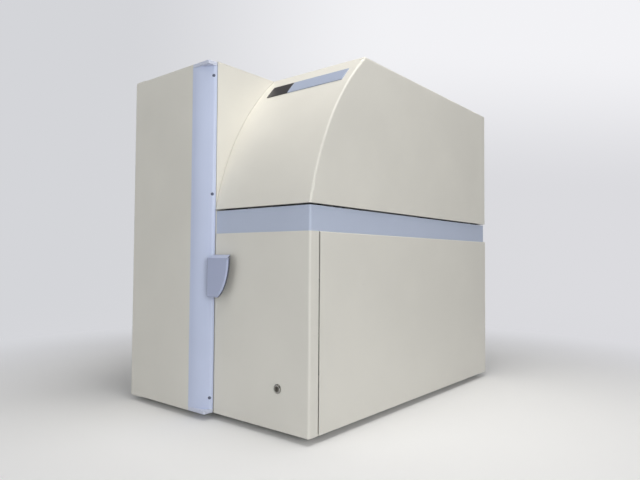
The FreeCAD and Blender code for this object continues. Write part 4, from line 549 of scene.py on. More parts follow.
class Piece:
    """Steps that turn mesh code into a finished piece of the reader."""

    @staticmethod
    def join(name: str, mesh: bpy.types.Mesh, body: str, slot: str, replaces: Iterable[str] = ()) -> None:
        """Adds a piece to a body.

        Args:
            name: The piece's name.
            mesh: Its mesh with its finishes, in the row frame.
            body: The body that it rides on.
            slot: Not used.
            replaces: Nodes that it stands for.
        """
        made = linked(name, mesh)
        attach(made, body)
        nodes = tuple(replaces)
        if nodes:
            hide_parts(*nodes)
        LOG.info("%s rides on %s, %d faces", name, body, len(mesh.polygons))

    @staticmethod
    def clad(mesh: bpy.types.Mesh, *finishes: Finish) -> bpy.types.Mesh:
        """Gives a mesh its finishes, the first one on every face.

        Args:
            mesh: The mesh.
            finishes: What it has in place of its own materials.

        Returns:
            The same mesh.
        """
        mesh.materials.clear()
        for finish in finishes:
            mesh.materials.append(finish.material())
        return mesh

    @staticmethod
    def baked(holder: bpy.types.Object, name: str) -> bpy.types.Mesh:
        """Turns an object with modifiers into a plain mesh and removes the object.

        Args:
            holder: The object with its modifiers.
            name: The new mesh's name.

        Returns:
            The mesh, with the object's place applied.
        """
        bpy.context.view_layer.update()
        graph = bpy.context.evaluated_depsgraph_get()
        mesh = bpy.data.meshes.new_from_object(holder.evaluated_get(graph), depsgraph=graph)
        mesh.transform(holder.matrix_world)
        mesh.name = name
        bpy.data.objects.remove(holder)
        return mesh

    @staticmethod
    def holder(mesh: bpy.types.Mesh) -> bpy.types.Object:
        """An object that carries a mesh while modifiers work on it."""
        return linked("work_" + mesh.name, mesh)

    @staticmethod
    def smooth(mesh: bpy.types.Mesh, angle: float = 35.0) -> bpy.types.Mesh:
        """Shades a mesh smooth.

        Args:
            mesh: The mesh.
            angle: Edges sharper than this stay crisp, in degrees.

        Returns:
            The same mesh.
        """
        for face in mesh.polygons:
            face.use_smooth = True
        mesh.set_sharp_from_angle(angle=math.radians(angle))
        return mesh

    @staticmethod
    def plain(shape: bmesh.types.BMesh, name: str) -> bpy.types.Mesh:
        """Turns mesh code into a mesh.

        Args:
            shape: The mesh code, which is freed.
            name: The mesh's name.

        Returns:
            The mesh.
        """
        mesh = bpy.data.meshes.new(name)
        shape.to_mesh(mesh)
        shape.free()
        return mesh

    @staticmethod
    def closed(shape: bmesh.types.BMesh, name: str, angle: float = 35.0) -> bpy.types.Mesh:
        """Turns mesh code into a smooth mesh, its doubles merged and its faces outwards.

        Args:
            shape: The mesh code, which is freed.
            name: The mesh's name.
            angle: Edges sharper than this stay crisp, in degrees.

        Returns:
            The mesh.
        """
        bmesh.ops.remove_doubles(shape, verts=shape.verts, dist=MERGE / 2)
        bmesh.ops.recalc_face_normals(shape, faces=shape.faces)
        return Piece.smooth(Piece.plain(shape, name), angle)

    @staticmethod
    def copied(node: str) -> bmesh.types.BMesh:
        """Mesh code of a CAD node, its doubles merged.

        Args:
            node: The CAD node.

        Returns:
            The mesh code.
        """
        shape = bmesh.new()
        shape.from_mesh(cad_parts[node].data)
        bmesh.ops.remove_doubles(shape, verts=shape.verts, dist=MERGE)
        return shape

    @staticmethod
    def eased(mesh: bpy.types.Mesh, width: float, steps: int = 2) -> bpy.types.Mesh:
        """Rounds a mesh's sharp edges.

        Args:
            mesh: The mesh.
            width: The width of the rounding, in metres.
            steps: The rounding's segments.

        Returns:
            The rounded mesh.
        """
        name = mesh.name
        made = Piece.holder(Piece.smooth(mesh))
        bevel = made.modifiers.new("edge", "BEVEL")
        bevel.width = width
        bevel.segments = steps
        bevel.limit_method = "ANGLE"
        bevel.angle_limit = BEVEL_ANGLE
        bevel.use_clamp_overlap = True
        bevel.miter_outer = "MITER_ARC"
        level = made.modifiers.new("shade", "WEIGHTED_NORMAL")
        level.keep_sharp = True
        level.weight = 80
        return Piece.baked(made, name + "_form")

    @staticmethod
    def softened(node: str, width: float, steps: int = 2) -> bpy.types.Mesh:
        """Copies a node and rounds its sharp edges, inside the node's box.

        Args:
            node: The CAD node.
            width: The width of the rounding, in metres.
            steps: The rounding's segments.

        Returns:
            The mesh.
        """
        shape = Piece.copied(node)
        bmesh.ops.dissolve_limit(shape, angle_limit=FLAT_ANGLE, verts=shape.verts, edges=shape.edges)
        soft = Piece.eased(Piece.plain(shape, node), width, steps)
        low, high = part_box(node)
        for vertex in soft.vertices:
            vertex.co = [min(max(c, a), b) for c, a, b in zip(vertex.co, low, high)]
        return soft

    @staticmethod
    def bored(mesh: bpy.types.Mesh, places: Sequence[Matrix], radius: float, depth: float) -> bpy.types.Mesh:
        """Cuts a round counterbore at each place.

        Args:
            mesh: The closed mesh.
            places: The mouths of the bores, their Z axes outwards.
            radius: The bores' radius.
            depth: The bores' depth.

        Returns:
            The bored mesh.
        """
        tool = bmesh.new()
        for place in places:
            bmesh.ops.create_cone(tool, cap_ends=True, segments=BORE_SIDES, radius1=radius, radius2=radius,
                                  depth=2 * depth, matrix=place)
        return Piece.without(mesh, Piece.closed(tool, mesh.name + "_bores"))

    @staticmethod
    def without(mesh: bpy.types.Mesh, tool: bpy.types.Mesh) -> bpy.types.Mesh:
        """Cuts one closed mesh out of another.

        Args:
            mesh: The mesh that is cut.
            tool: What is cut out of it.

        Returns:
            The cut mesh.
        """
        name = mesh.name
        work = Piece.holder(mesh)
        cutter = Piece.holder(tool)
        cut = work.modifiers.new("cut", "BOOLEAN")
        cut.operation = "DIFFERENCE"
        cut.solver = "EXACT"
        cut.use_self = True
        cut.object = cutter
        made = Piece.baked(work, name + "_cut")
        bpy.data.objects.remove(cutter)
        return Piece.smooth(made, 30)

    @staticmethod
    def bridge(shape: bmesh.types.BMesh, low: Sequence[bmesh.types.BMVert],
               high: Sequence[bmesh.types.BMVert]) -> None:
        """Adds the faces between two rings of corners.

        Args:
            shape: The mesh code.
            low: The first ring; one corner alone is a pole.
            high: The second ring; one corner alone is a pole.
        """
        count = max(len(low), len(high))
        for side in range(count):
            after = (side + 1) % count
            corners = (low[side % len(low)], low[after % len(low)], high[after % len(high)],
                       high[side % len(high)])
            kept = list(dict.fromkeys(corners))
            if len(kept) > 2:
                shape.faces.new(kept)

    @staticmethod
    def prism(outline: Outline, low: float, high: float, name: str, hole: Outline = ()) -> bpy.types.Mesh:
        """Makes an upright closed prism.

        Args:
            outline: The corners, counter-clockwise.
            low: The lower height.
            high: The upper height.
            name: The mesh's name.
            hole: The corners of a hole, as many and the same way round.

        Returns:
            The mesh.
        """
        shape = bmesh.new()
        loops = [[shape.verts.new((x, y, z)) for x, y in ring] for ring in (outline, hole) if ring
                 for z in (low, high)]
        for first, second in zip(loops[::2], loops[1::2]):
            Piece.bridge(shape, first, second)
        if hole:
            Piece.bridge(shape, loops[0], loops[2])
            Piece.bridge(shape, loops[1], loops[3])
        else:
            shape.faces.new(loops[0])
            shape.faces.new(loops[1])
        return Piece.closed(shape, name, 30)

    @staticmethod
    def merged(meshes: Sequence[bpy.types.Mesh], name: str) -> bpy.types.Mesh:
        """Makes one mesh of several.

        Args:
            meshes: The meshes, each with its own materials.
            name: The mesh's name.

        Returns:
            The mesh.
        """
        shape = bmesh.new()
        materials: list[bpy.types.Material] = []
        for mesh in meshes:
            before = len(shape.faces)
            shape.from_mesh(mesh)
            shape.faces.ensure_lookup_table()
            for face in shape.faces[before:]:
                face.material_index += len(materials)
            materials += mesh.materials
        made = Piece.plain(shape, name)
        for material in materials:
            made.materials.append(material)
        return made

    @staticmethod
    def lathe(profile: Outline, sides: int, name: str, place: Matrix = Matrix.Identity(4)) -> bpy.types.Mesh:
        """Turns a profile about the local Z axis.

        Args:
            profile: Radius and height pairs; a radius of 0 closes the end.
            sides: The number of sides.
            name: The mesh's name.
            place: Where the local frame goes.

        Returns:
            The closed mesh.
        """
        shape = bmesh.new()
        turns = [2 * math.pi * side / sides for side in range(sides)]
        rings = [[shape.verts.new((radius * math.cos(t), radius * math.sin(t), height))
                  for t in (turns if radius > 0 else turns[:1])] for radius, height in profile]
        for low, high in zip(rings, rings[1:]):
            Piece.bridge(shape, low, high)
        shape.transform(place)
        return Piece.closed(shape, name)


class Repeater:
    """Geometry Nodes that set one item at many places."""

    def __init__(self) -> None:
        """Builds the tree: an item on every point, turned as the point says."""
        self.tree = bpy.data.node_groups.new("repeat_item", "GeometryNodeTree")
        face = self.tree.interface
        kinds = {"Geometry": "Geometry", "Item": "Object", "Scale": "Float", "Finish": "Material"}
        _, self.item, self.scale, self.finish = (
            face.new_socket(name, in_out="INPUT", socket_type="NodeSocket" + kind).identifier
            for name, kind in kinds.items())
        face.new_socket("Geometry", in_out="OUTPUT", socket_type="NodeSocketGeometry")
        start, info, turn, put, real, dress, end = (self.tree.nodes.new(kind) for kind in (
            "NodeGroupInput", "GeometryNodeObjectInfo", "GeometryNodeInputNamedAttribute",
            "GeometryNodeInstanceOnPoints", "GeometryNodeRealizeInstances", "GeometryNodeSetMaterial",
            "NodeGroupOutput"))
        turn.data_type = "FLOAT_VECTOR"
        turn.inputs["Name"].default_value = "turn"
        for source, given, target, taken in (
                (start, "Item", info, "Object"), (start, "Geometry", put, "Points"),
                (info, "Geometry", put, "Instance"), (turn, "Attribute", put, "Rotation"),
                (start, "Scale", put, "Scale"), (put, "Instances", real, "Geometry"),
                (real, "Geometry", dress, "Geometry"), (start, "Finish", dress, "Material"),
                (dress, "Geometry", end, "Geometry")):
            self.tree.links.new(source.outputs[given], target.inputs[taken])

    def spread(self, item: bpy.types.Mesh, places: Sequence[Matrix], finish: Finish, name: str) -> bpy.types.Mesh:
        """Sets an item at every place.

        Args:
            item: The item's mesh, about its own origin.
            places: Where each copy goes.
            finish: The finish of them all.
            name: The name of the new mesh.

        Returns:
            One plain mesh with every copy.
        """
        points = bpy.data.meshes.new(name + "_points")
        points.from_pydata([tuple(place.translation) for place in places], [], [])
        turns = points.attributes.new("turn", "FLOAT_VECTOR", "POINT")
        for index, place in enumerate(places):
            turns.data[index].vector = tuple(place.to_euler("XYZ"))
        source = Piece.holder(item)
        made = Piece.holder(points)
        node = made.modifiers.new("repeat", "NODES")
        node.node_group = self.tree
        node[self.item] = source
        node[self.scale] = 1.0
        node[self.finish] = finish.material()
        mesh = Piece.baked(made, name)
        bpy.data.objects.remove(source)
        return mesh


REPEATER = Repeater()


def facing(place: Sequence[float], outward: Sequence[float], roll: float = 0.0) -> Matrix:
    """A local frame at a place, its Z axis outwards.

    Args:
        place: The place, in metres.
        outward: The direction of the local Z axis.
        roll: A turn about it, in degrees.

    Returns:
        The matrix.
    """
    turn = Vector(outward).to_track_quat("Z", "Y").to_matrix().to_4x4()
    return Matrix.Translation(Vector(place)) @ turn @ Matrix.Rotation(math.radians(roll), 4, "Z")


def seat(node: str, start: Sequence[float], aim: Sequence[float], roll: float = 0.0) -> Matrix:
    """A local frame where a line meets a node's surface.

    Args:
        node: The CAD node.
        start: A point on the line, outside the node.
        aim: The line's direction.
        roll: A turn about the surface's normal, in degrees.

    Returns:
        The matrix, its Z axis outwards.
    """
    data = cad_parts[node].data
    tree = BVHTree.FromPolygons([v.co for v in data.vertices], [p.vertices for p in data.polygons])
    place, outward, _, _ = tree.ray_cast(Vector(start), Vector(aim))
    if place is None:
        raise ValueError(f"the line from {tuple(start)} misses {node}")
    return facing(place, outward, roll)


def islands(node: str) -> list[Box]:
    """Finds the separate solids of a node.

    Args:
        node: The CAD node.

    Returns:
        Their boxes, sorted by their lowest corners.
    """
    shape = Piece.copied(node)
    left = set(shape.verts)
    boxes = []
    while left:
        group = [left.pop()]
        for vertex in group:
            near = {edge.other_vert(vertex) for edge in vertex.link_edges} & left
            left -= near
            group.extend(near)
        corners = list(zip(*(v.co for v in group)))
        boxes.append((Vector([min(c) for c in corners]), Vector([max(c) for c in corners])))
    shape.free()
    return sorted(boxes, key=lambda pair: tuple(round(c, 4) for c in pair[0]))


class Drive(Enum):
    """The recess of a screw's head: each bar's length and width over the head's radius, and the bars' number."""

    CROSS = (1.15, 0.24, 2)
    SOCKET = (0.98, 0.566, 3)


@dataclass
class ScrewHead:
    """A screw's head, its seat at the local origin."""

    radius: float = 3.0 * MM
    height: float = 1.2 * MM
    drive: Drive = Drive.CROSS
    sides: int = 24

    def mesh(self, name: str) -> bpy.types.Mesh:
        """Turns the head and cuts its recess.

        Args:
            name: The mesh's name.

        Returns:
            The mesh.
        """
        r, h = self.radius, self.height
        if self.drive is Drive.CROSS:
            profile = [(0, 0), (r, 0), (r, 0.45 * h), (0.93 * r, 0.8 * h), (0.75 * r, h), (0, h)]
        else:
            profile = [(0, 0), (r, 0), (r, 0.9 * h), (0.92 * r, h), (0, h)]
        long, wide, bars = self.drive.value
        tool = bmesh.new()
        for bar in range(bars):
            block = bmesh.ops.create_cube(tool, size=1.0)["verts"]
            bmesh.ops.scale(tool, vec=(long * r, wide * r, h), verts=block)
            bmesh.ops.rotate(tool, matrix=Matrix.Rotation(math.pi * bar / bars, 3, "Z"), verts=block)
            bmesh.ops.translate(tool, vec=(0, 0, h), verts=block)
        return Piece.without(Piece.lathe(profile, self.sides, name), Piece.plain(tool, name + "_recess"))


@dataclass
class Skin:
    """How one CAD node is dressed: its finish and the rounding of its edges."""

    node: str
    finish: Finish
    edge: float = 0.0
    steps: int = 2


@dataclass
class Assembly:
    """A sub-assembly: one CAD body and the skins of its nodes."""

    body: str
    skins: tuple[Skin, ...] = ()

    def build(self) -> None:
        """Dresses every node: in its finish, or with a softened copy in its place."""
        for skin in self.skins:
            if skin.edge > 0:
                self.form(skin.node, Piece.softened(skin.node, skin.edge, skin.steps), skin.finish)
            else:
                Piece.clad(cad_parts[skin.node].data, skin.finish)
                LOG.info("%s keeps its solid, %s", skin.node, skin.finish.name)

    def form(self, node: str, mesh: bpy.types.Mesh, *finishes: Finish) -> None:
        """Puts a mesh in a node's place.

        Args:
            node: The CAD node.
            mesh: The mesh.
            finishes: Its finishes, where it hasn't its own.
        """
        if finishes:
            Piece.clad(mesh, *finishes)
        Piece.join("form_" + node, mesh, self.body, node, [node])

    def screws(self, name: str, head: ScrewHead, places: Sequence[Matrix], finish: Finish, node: str,
               replaces: Iterable[str] = ()) -> None:
        """Sets a screw's head at every place.

        Args:
            name: The piece's name.
            head: The head.
            places: The seats, their Z axes outwards.
            finish: The heads' finish.
            node: The CAD node that they go with.
            replaces: Nodes that they stand for.
        """
        mesh = REPEATER.spread(head.mesh(name + "_head"), places, finish, name)
        Piece.join(name, mesh, self.body, node, replaces)


@dataclass
class StepperMotor:
    """A square motor: two cast end caps, the laminations between them, and the screws in its back."""

    half: float = 28.5 * MM
    corner: float = 4 * MM
    length: float = 56 * MM
    cap: float = 9 * MM
    cap_edge: float = 0.8 * MM
    core_inset: float = 0.7 * MM
    core_corner: float = 6.5 * MM
    head: ScrewHead = field(default_factory=lambda: ScrewHead(2.6 * MM, 1.1 * MM))
    sheet: float = 0.8 * MM
    pitch: float = 1.1 * MM

    @staticmethod
    def outline(half: float, corner: float) -> Outline:
        """Draws a square with cut corners.

        Args:
            half: Half its side.
            corner: What each corner loses along a side.

        Returns:
            The corners, counter-clockwise.
        """
        side = half - corner
        return [(half, -side), (half, side), (side, half), (-side, half), (-half, side), (-half, -side),
                (-side, -half), (side, -half)]

    def mesh(self, name: str, place: Matrix) -> bpy.types.Mesh:
        """Builds the motor, its face at the local origin and its shaft along Z.

        Args:
            name: The mesh's name.
            place: Where the local frame goes.

        Returns:
            The mesh with its finishes.
        """
        back = -self.length + self.head.height
        core_low = back + self.cap
        sides = self.outline(self.half, self.corner)
        parts = [Piece.clad(Piece.eased(Piece.prism(sides, low, low + self.cap, f"{name}_cap"), self.cap_edge, 3),
                            MOTOR_CAST) for low in (-self.cap, back)]
        core = self.outline(self.half - 2 * self.core_inset, self.core_corner)
        parts.append(Piece.clad(Piece.prism(core, core_low, -self.cap, name + "_core"), DARK_PAINT))
        rim = self.outline(self.half - self.core_inset, self.core_corner)
        steps = [Matrix.Translation((0, 0, core_low + self.pitch * step))
                 for step in range(int((-self.cap - core_low) / self.pitch))]
        parts.append(REPEATER.spread(Piece.prism(rim, 0.0, self.sheet, name + "_sheet"), steps, CORE_STEEL,
                                     name + "_sheets"))
        reach = self.half - self.corner - self.head.radius / 2
        seats = [facing((x * reach, y * reach, back), (0, 0, -1), 40 * x + 25 * y) for x in (-1, 1) for y in (-1, 1)]
        parts.append(REPEATER.spread(self.head.mesh(name + "_screw"), seats, PLATE_STEEL, name + "_screws"))
        made = Piece.merged(parts, name)
        made.transform(place)
        return made


@dataclass
class GearMotor:
    """A small round motor on its gearbox: a boss below, a band and a groove round the seam."""

    boss: float = 3 * MM
    boss_rise: float = 1.5 * MM
    shoulder: float = 1 * MM
    seam_share: float = 0.6
    band: float = 4 * MM
    groove: float = 1 * MM
    step: float = 0.5 * MM
    sides: int = 40

    def mesh(self, name: str, low: Vector, high: Vector) -> bpy.types.Mesh:
        """Turns the motor.

        Args:
            name: The mesh's name.
            low: The lower corner of its box.
            high: The upper corner of its box.

        Returns:
            The mesh with its finish.
        """
        step = self.step
        can = (high.x - low.x) / 2
        neck = can - step
        tall = high.z - low.z
        seam = self.seam_share * tall
        band = seam + self.band
        cap = band + self.groove
        profile = [(0, 0), (self.boss, 0), (self.boss, self.boss_rise), (can - 3 * step, self.boss_rise),
                   (neck, self.boss_rise + self.shoulder), (neck, seam), (can, seam + step), (can, band),
                   (neck, band + step), (neck, cap), (can, cap + step), (can, tall - step), (neck, tall), (0, tall)]
        middle = (low + high) / 2
        place = Matrix.Translation((middle.x, middle.y, low.z))
        return Piece.clad(Piece.lathe(profile, self.sides, name, place), PLATE_STEEL)


@dataclass
class ToothedDrive:
    """The toothed belt of the tray and its two pulleys."""

    pitch: float = 2 * MM
    tooth: float = 0.5 * MM
    inner: float = 6 * MM
    thick: float = 1.1 * MM
    width: float = 5 * MM
    teeth: int = 20
    groove: float = 0.45 * MM
    pulley: float = 5.7 * MM
    flange: float = 0.7 * MM
    flange_gap: float = 1 * MM
    bore: float = 2.6 * MM
    shaft: float = 2.5 * MM
    edge: float = 0.15 * MM
    sides: int = 40

    def belt(self, name: str, start: Vector, end: Vector) -> bpy.types.Mesh:
        """Makes the belt's loop round two pulleys.

        Args:
            name: The mesh's name.
            start: The first pulley's middle, at the belt's lower edge.
            end: The second pulley's middle, further along X.

        Returns:
            The closed mesh.
        """
        span = end.x - start.x
        arc = math.pi * (self.inner + self.thick / 2)
        count = 4 * round(2 * (span + arc) / self.pitch)
        outer: list[tuple[float, float]] = []
        inner: list[tuple[float, float]] = []
        for step in range(count):
            run = step * 2 * (span + arc) / count
            second = run >= span + arc
            run -= (span + arc) * second
            centre = start if second else end
            turn = -math.pi / 2 + math.pi * second
            along = (span - run) * (1 if second else -1)
            if run > span:
                along = 0.0
                turn += math.pi * (run - span) / arc
            root = self.tooth if step % 4 > 1 else 0.0
            for ring, radius in ((outer, self.inner + self.thick), (inner, self.inner + root)):
                ring.append((centre.x + along + radius * math.cos(turn), centre.y + radius * math.sin(turn)))
        return Piece.prism(outer, start.z, start.z + self.width, name, inner)

    def wheel(self, name: str, middle: Vector, bored: bool) -> bpy.types.Mesh:
        """Makes a toothed pulley with its lower flange.

        Args:
            name: The mesh's name.
            middle: Its middle, at the belt's lower edge.
            bored: Whether it turns on a pin.

        Returns:
            The mesh.
        """
        count = 4 * self.teeth
        turns = [2 * math.pi * (step + 0.5) / count for step in range(count)]
        radii = [self.pulley - (self.groove if step % 4 > 1 else 0.0) for step in range(count)]
        rim = [(middle.x + r * math.cos(t), middle.y + r * math.sin(t)) for r, t in zip(radii, turns)]
        hole = [(middle.x + self.bore * math.cos(t), middle.y + self.bore * math.sin(t)) for t in turns]
        low = middle.z - self.flange_gap
        teeth = Piece.prism(rim, low, middle.z + self.width, name + "_teeth", hole if bored else ())
        lip = self.inner + self.thick / 2
        edge = self.edge
        inside = self.bore if bored else 0.0
        profile = [(inside, 0), (lip - edge, 0), (lip, edge), (lip, self.flange - edge),
                   (lip - edge, self.flange), (inside, self.flange)]
        if bored:
            profile.append(profile[0])
        disc = Piece.lathe(profile, self.sides, name + "_flange", Matrix.Translation((middle.x, middle.y, low)))
        return Piece.merged([teeth, disc], name)


@dataclass
class RailBolts:
    """Counterbored socket screws along a rail."""

    node: str
    spacing: float = 40 * MM
    end_gap: float = 16 * MM
    edge: float = 0.3 * MM
    head: ScrewHead = field(default_factory=lambda: ScrewHead(2.75 * MM, 2.6 * MM, Drive.SOCKET))
    room: float = 0.35 * MM
    sink: float = 3 * MM
    turn: float = 0.7

    def fit(self, owner: Assembly, rails: Sequence[Box], along: int) -> None:
        """Bores the rails and sets their screws.

        Args:
            owner: The sub-assembly of the rails.
            rails: Each rail's box.
            along: The axis that the rails run along.
        """
        mouths = []
        for low, high in rails:
            length = high[along] - low[along] - 2 * self.end_gap
            count = int(length / self.spacing)
            for step in range(count + 1):
                spot = (low + high) / 2
                spot[along] = low[along] + self.end_gap + length * step / count
                spot.z = high.z
                mouths.append(Matrix.Translation(spot))
        form = Piece.bored(Piece.softened(self.node, self.edge), mouths, self.head.radius + self.room, self.sink)
        owner.form(self.node, form, RAIL_STEEL)
        seats = [mouth @ Matrix.Translation((0, 0, -self.sink)) @ Matrix.Rotation(self.turn * index, 4, "Z")
                 for index, mouth in enumerate(mouths)]
        owner.screws(self.node + "_bolts", self.head, seats, SCREW_BLACK, self.node)


@dataclass
class RubberFoot:
    """A turned foot: the recess of its screw, its sole, a moulded ring and a flared top."""

    recess: float = 6 * MM
    recess_depth: float = 5 * MM
    chamfer: float = 0.5 * MM
    sole: float = 16 * MM
    lip: float = 0.6 * MM
    ring_rise: float = 3 * MM
    ring: float = 0.4 * MM
    flare: float = 18.7 * MM
    rise: float = 12 * MM
    sides: int = 40

    def mesh(self, name: str) -> bpy.types.Mesh:
        """Turns the foot, its sole at the local origin.

        Args:
            name: The mesh's name.

        Returns:
            The mesh.
        """
        wall = self.sole + self.lip
        profile = [(0, self.recess_depth), (self.recess - self.chamfer, self.recess_depth),
                   (self.recess, self.recess_depth - self.chamfer), (self.recess, self.chamfer),
                   (self.recess + self.lip, 0), (self.sole - self.lip, 0), (self.sole, self.lip),
                   (wall, self.ring_rise), (wall - self.ring / 2, self.ring_rise + self.ring),
                   (wall + self.ring / 2, self.ring_rise + 2 * self.ring), (self.flare, self.rise - 2 * self.ring),
                   (self.flare - self.chamfer, self.rise), (0, self.rise)]
        return Piece.lathe(profile, self.sides, name)


@dataclass
class Housing(Assembly):
    """The fixed body: tower, lower compartment, belt, deck and back."""

    body: str = "housing"
    skins: tuple[Skin, ...] = (
        Skin("base_plate", PALE_PAINT),
        Skin("tower_left_panel", PALE_PAINT, 0.5 * MM, 3),
        Skin("tower_top_panel", PALE_PAINT, 0.5 * MM),
        Skin("tower_right_wall", PALE_PAINT, 0.5 * MM),
        Skin("tower_bulkhead", PALE_PAINT, 0.4 * MM),
        Skin("lower_front_panel", PALE_PAINT, 0.8 * MM, 3),
        Skin("lower_side_panel", PALE_PAINT, 0.8 * MM, 3),
        Skin("blue_belt", BELT_PAINT, 0.4 * MM),
        Skin("deck_plate", BARE_ALUMINIUM, 0.4 * MM),
        Skin("frame_posts", PALE_PAINT, 0.6 * MM),
        Skin("connector_pocket", DARK_PAINT, 0.3 * MM),
        Skin("mains_inlet", DARK_PLASTIC, 0.3 * MM),
        Skin("data_ports", PLATE_STEEL, 0.2 * MM),
        Skin("fan_housing", DARK_PLASTIC),
        Skin("hinge_plates", PALE_PAINT, 0.3 * MM),
        Skin("door_magnets", DARK_PLASTIC, 0.6 * MM),
        Skin("lock_bezel", LOCK_CHROME),
        Skin("hood_hinge_bases", PLATE_STEEL, 0.3 * MM),
        Skin("lift_frame", BARE_ALUMINIUM, 0.5 * MM),
        Skin("lift_guide_rods", RAIL_STEEL),
        Skin("head_supports", BARE_ALUMINIUM, 0.5 * MM),
        Skin("power_supply", BARE_ALUMINIUM, 0.4 * MM),
        Skin("controller_board", BOARD_GREEN, 0.15 * MM),
    )
    foot_reach: float = 19 * MM
    screw_inset: float = 8 * MM
    screw_pitch: float = 130 * MM
    screw_columns: int = 4
    screw_head: ScrewHead = field(default_factory=lambda: ScrewHead(3.2 * MM, 1.1 * MM))
    screw_sink: float = 1.3 * MM
    screw_room: float = 0.3 * MM
    screw_turn: float = 17.0
    head_rail: float = 8 * MM
    head_bolt_pitch: float = 45 * MM
    idler_foot: float = 5 * MM
    idler_edge: float = 0.3 * MM
    idler_sides: int = 32

    def build(self) -> None:
        """Dresses the housing and adds its feet, screws, motors, rails and belt."""
        super().build()
        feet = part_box("feet")
        places = [Matrix.Translation((x, y, 0)) for x in (feet[0].x + self.foot_reach, feet[1].x - self.foot_reach)
                  for y in (feet[0].y + self.foot_reach, feet[1].y - self.foot_reach)]
        mesh = REPEATER.spread(RubberFoot().mesh("foot"), places, FOOT_RUBBER, "rubber_feet")
        Piece.join("rubber_feet", mesh, self.body, "feet", ["feet"])
        self.back()
        self.motors()
        self.belt()
        RailBolts("tray_rails").fit(self, islands("tray_rails"), 0)
        left, right = islands("head_rails")
        size = Vector((self.head_rail, left[1].y - left[0].y, self.head_rail))
        rails = [(corner, corner + size)
                 for corner in (left[0], Vector((right[1].x - self.head_rail, right[0].y, right[0].z)))]
        RailBolts("head_rails", self.head_bolt_pitch).fit(self, rails, 1)

    def motors(self) -> None:
        """The stepper motors of the lift and the head, and the tray's gearmotor."""
        lift, gear, head = islands("drive_motors")
        above = (lift[0] + lift[1]) / 2
        above.z = lift[1].z
        front = (head[0] + head[1]) / 2
        front.y = head[0].y
        parts = [StepperMotor().mesh("lift_motor", facing(above, (0, 0, 1))),
                 StepperMotor().mesh("head_motor", facing(front, (0, -1, 0))),
                 GearMotor().mesh("tray_gearmotor", *gear)]
        self.form("drive_motors", Piece.merged(parts, "form_drive_motors"))

    def belt(self) -> None:
        """The tray's toothed belt, and the foot and pin of its idler."""
        drive = ToothedDrive()
        low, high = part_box("tray_belt")
        reach = drive.inner + drive.thick
        rise = high.z - drive.width
        start = Vector((low.x + reach, (low.y + high.y) / 2, rise))
        end = Vector((high.x - reach, start.y, rise))
        loop = Piece.clad(drive.belt("belt_loop", start, end), BELT_RUBBER)
        foot, edge = self.idler_foot, self.idler_edge
        top = high.z - low.z
        collar = rise - drive.flange_gap - edge - low.z
        profile = [(0, 0), (foot, 0), (foot, collar - edge), (foot - edge, collar), (drive.shaft, collar),
                   (drive.shaft, top - edge), (drive.shaft - edge, top), (0, top)]
        pin = Piece.lathe(profile, self.idler_sides, "idler_pin", Matrix.Translation((end.x, end.y, low.z)))
        self.form("tray_belt", Piece.merged([loop, Piece.clad(pin, PLATE_STEEL)], "form_tray_belt"))

    def back(self) -> None:
        """The back panel with counterbored screws round its edges."""
        low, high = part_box("back_panel")
        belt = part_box("blue_belt")[0]
        inset = self.screw_inset
        places = []
        rows = int((high.z - low.z) / self.screw_pitch)
        for row in range(rows + 1):
            z = low.z + inset + row * (high.z - low.z - 2 * inset) / rows
            places.append((low.x + inset, high.y, z))
            if z > belt.z:
                places.append((belt.x - inset, high.y, z))
        left, right = belt.x + inset, high.x - inset
        for column in range(self.screw_columns):
            x = left + column * (right - left) / (self.screw_columns - 1)
            places += [(x, high.y, low.z + inset), (x, high.y, belt.z - inset)]
        mouths = [facing(place, (0, 1, 0), self.screw_turn * index) for index, place in enumerate(places)]
        panel = Piece.plain(Piece.copied("back_panel"), "back_panel")
        panel = Piece.bored(panel, mouths, self.screw_head.radius + self.screw_room, self.screw_sink)
        panel.shade_flat()
        self.form("back_panel", panel, PALE_PAINT)
        seats = [mouth @ Matrix.Translation((0, 0, -self.screw_sink)) for mouth in mouths]
        self.screws("back_screws", self.screw_head, seats, PLATE_STEEL, "back_panel")


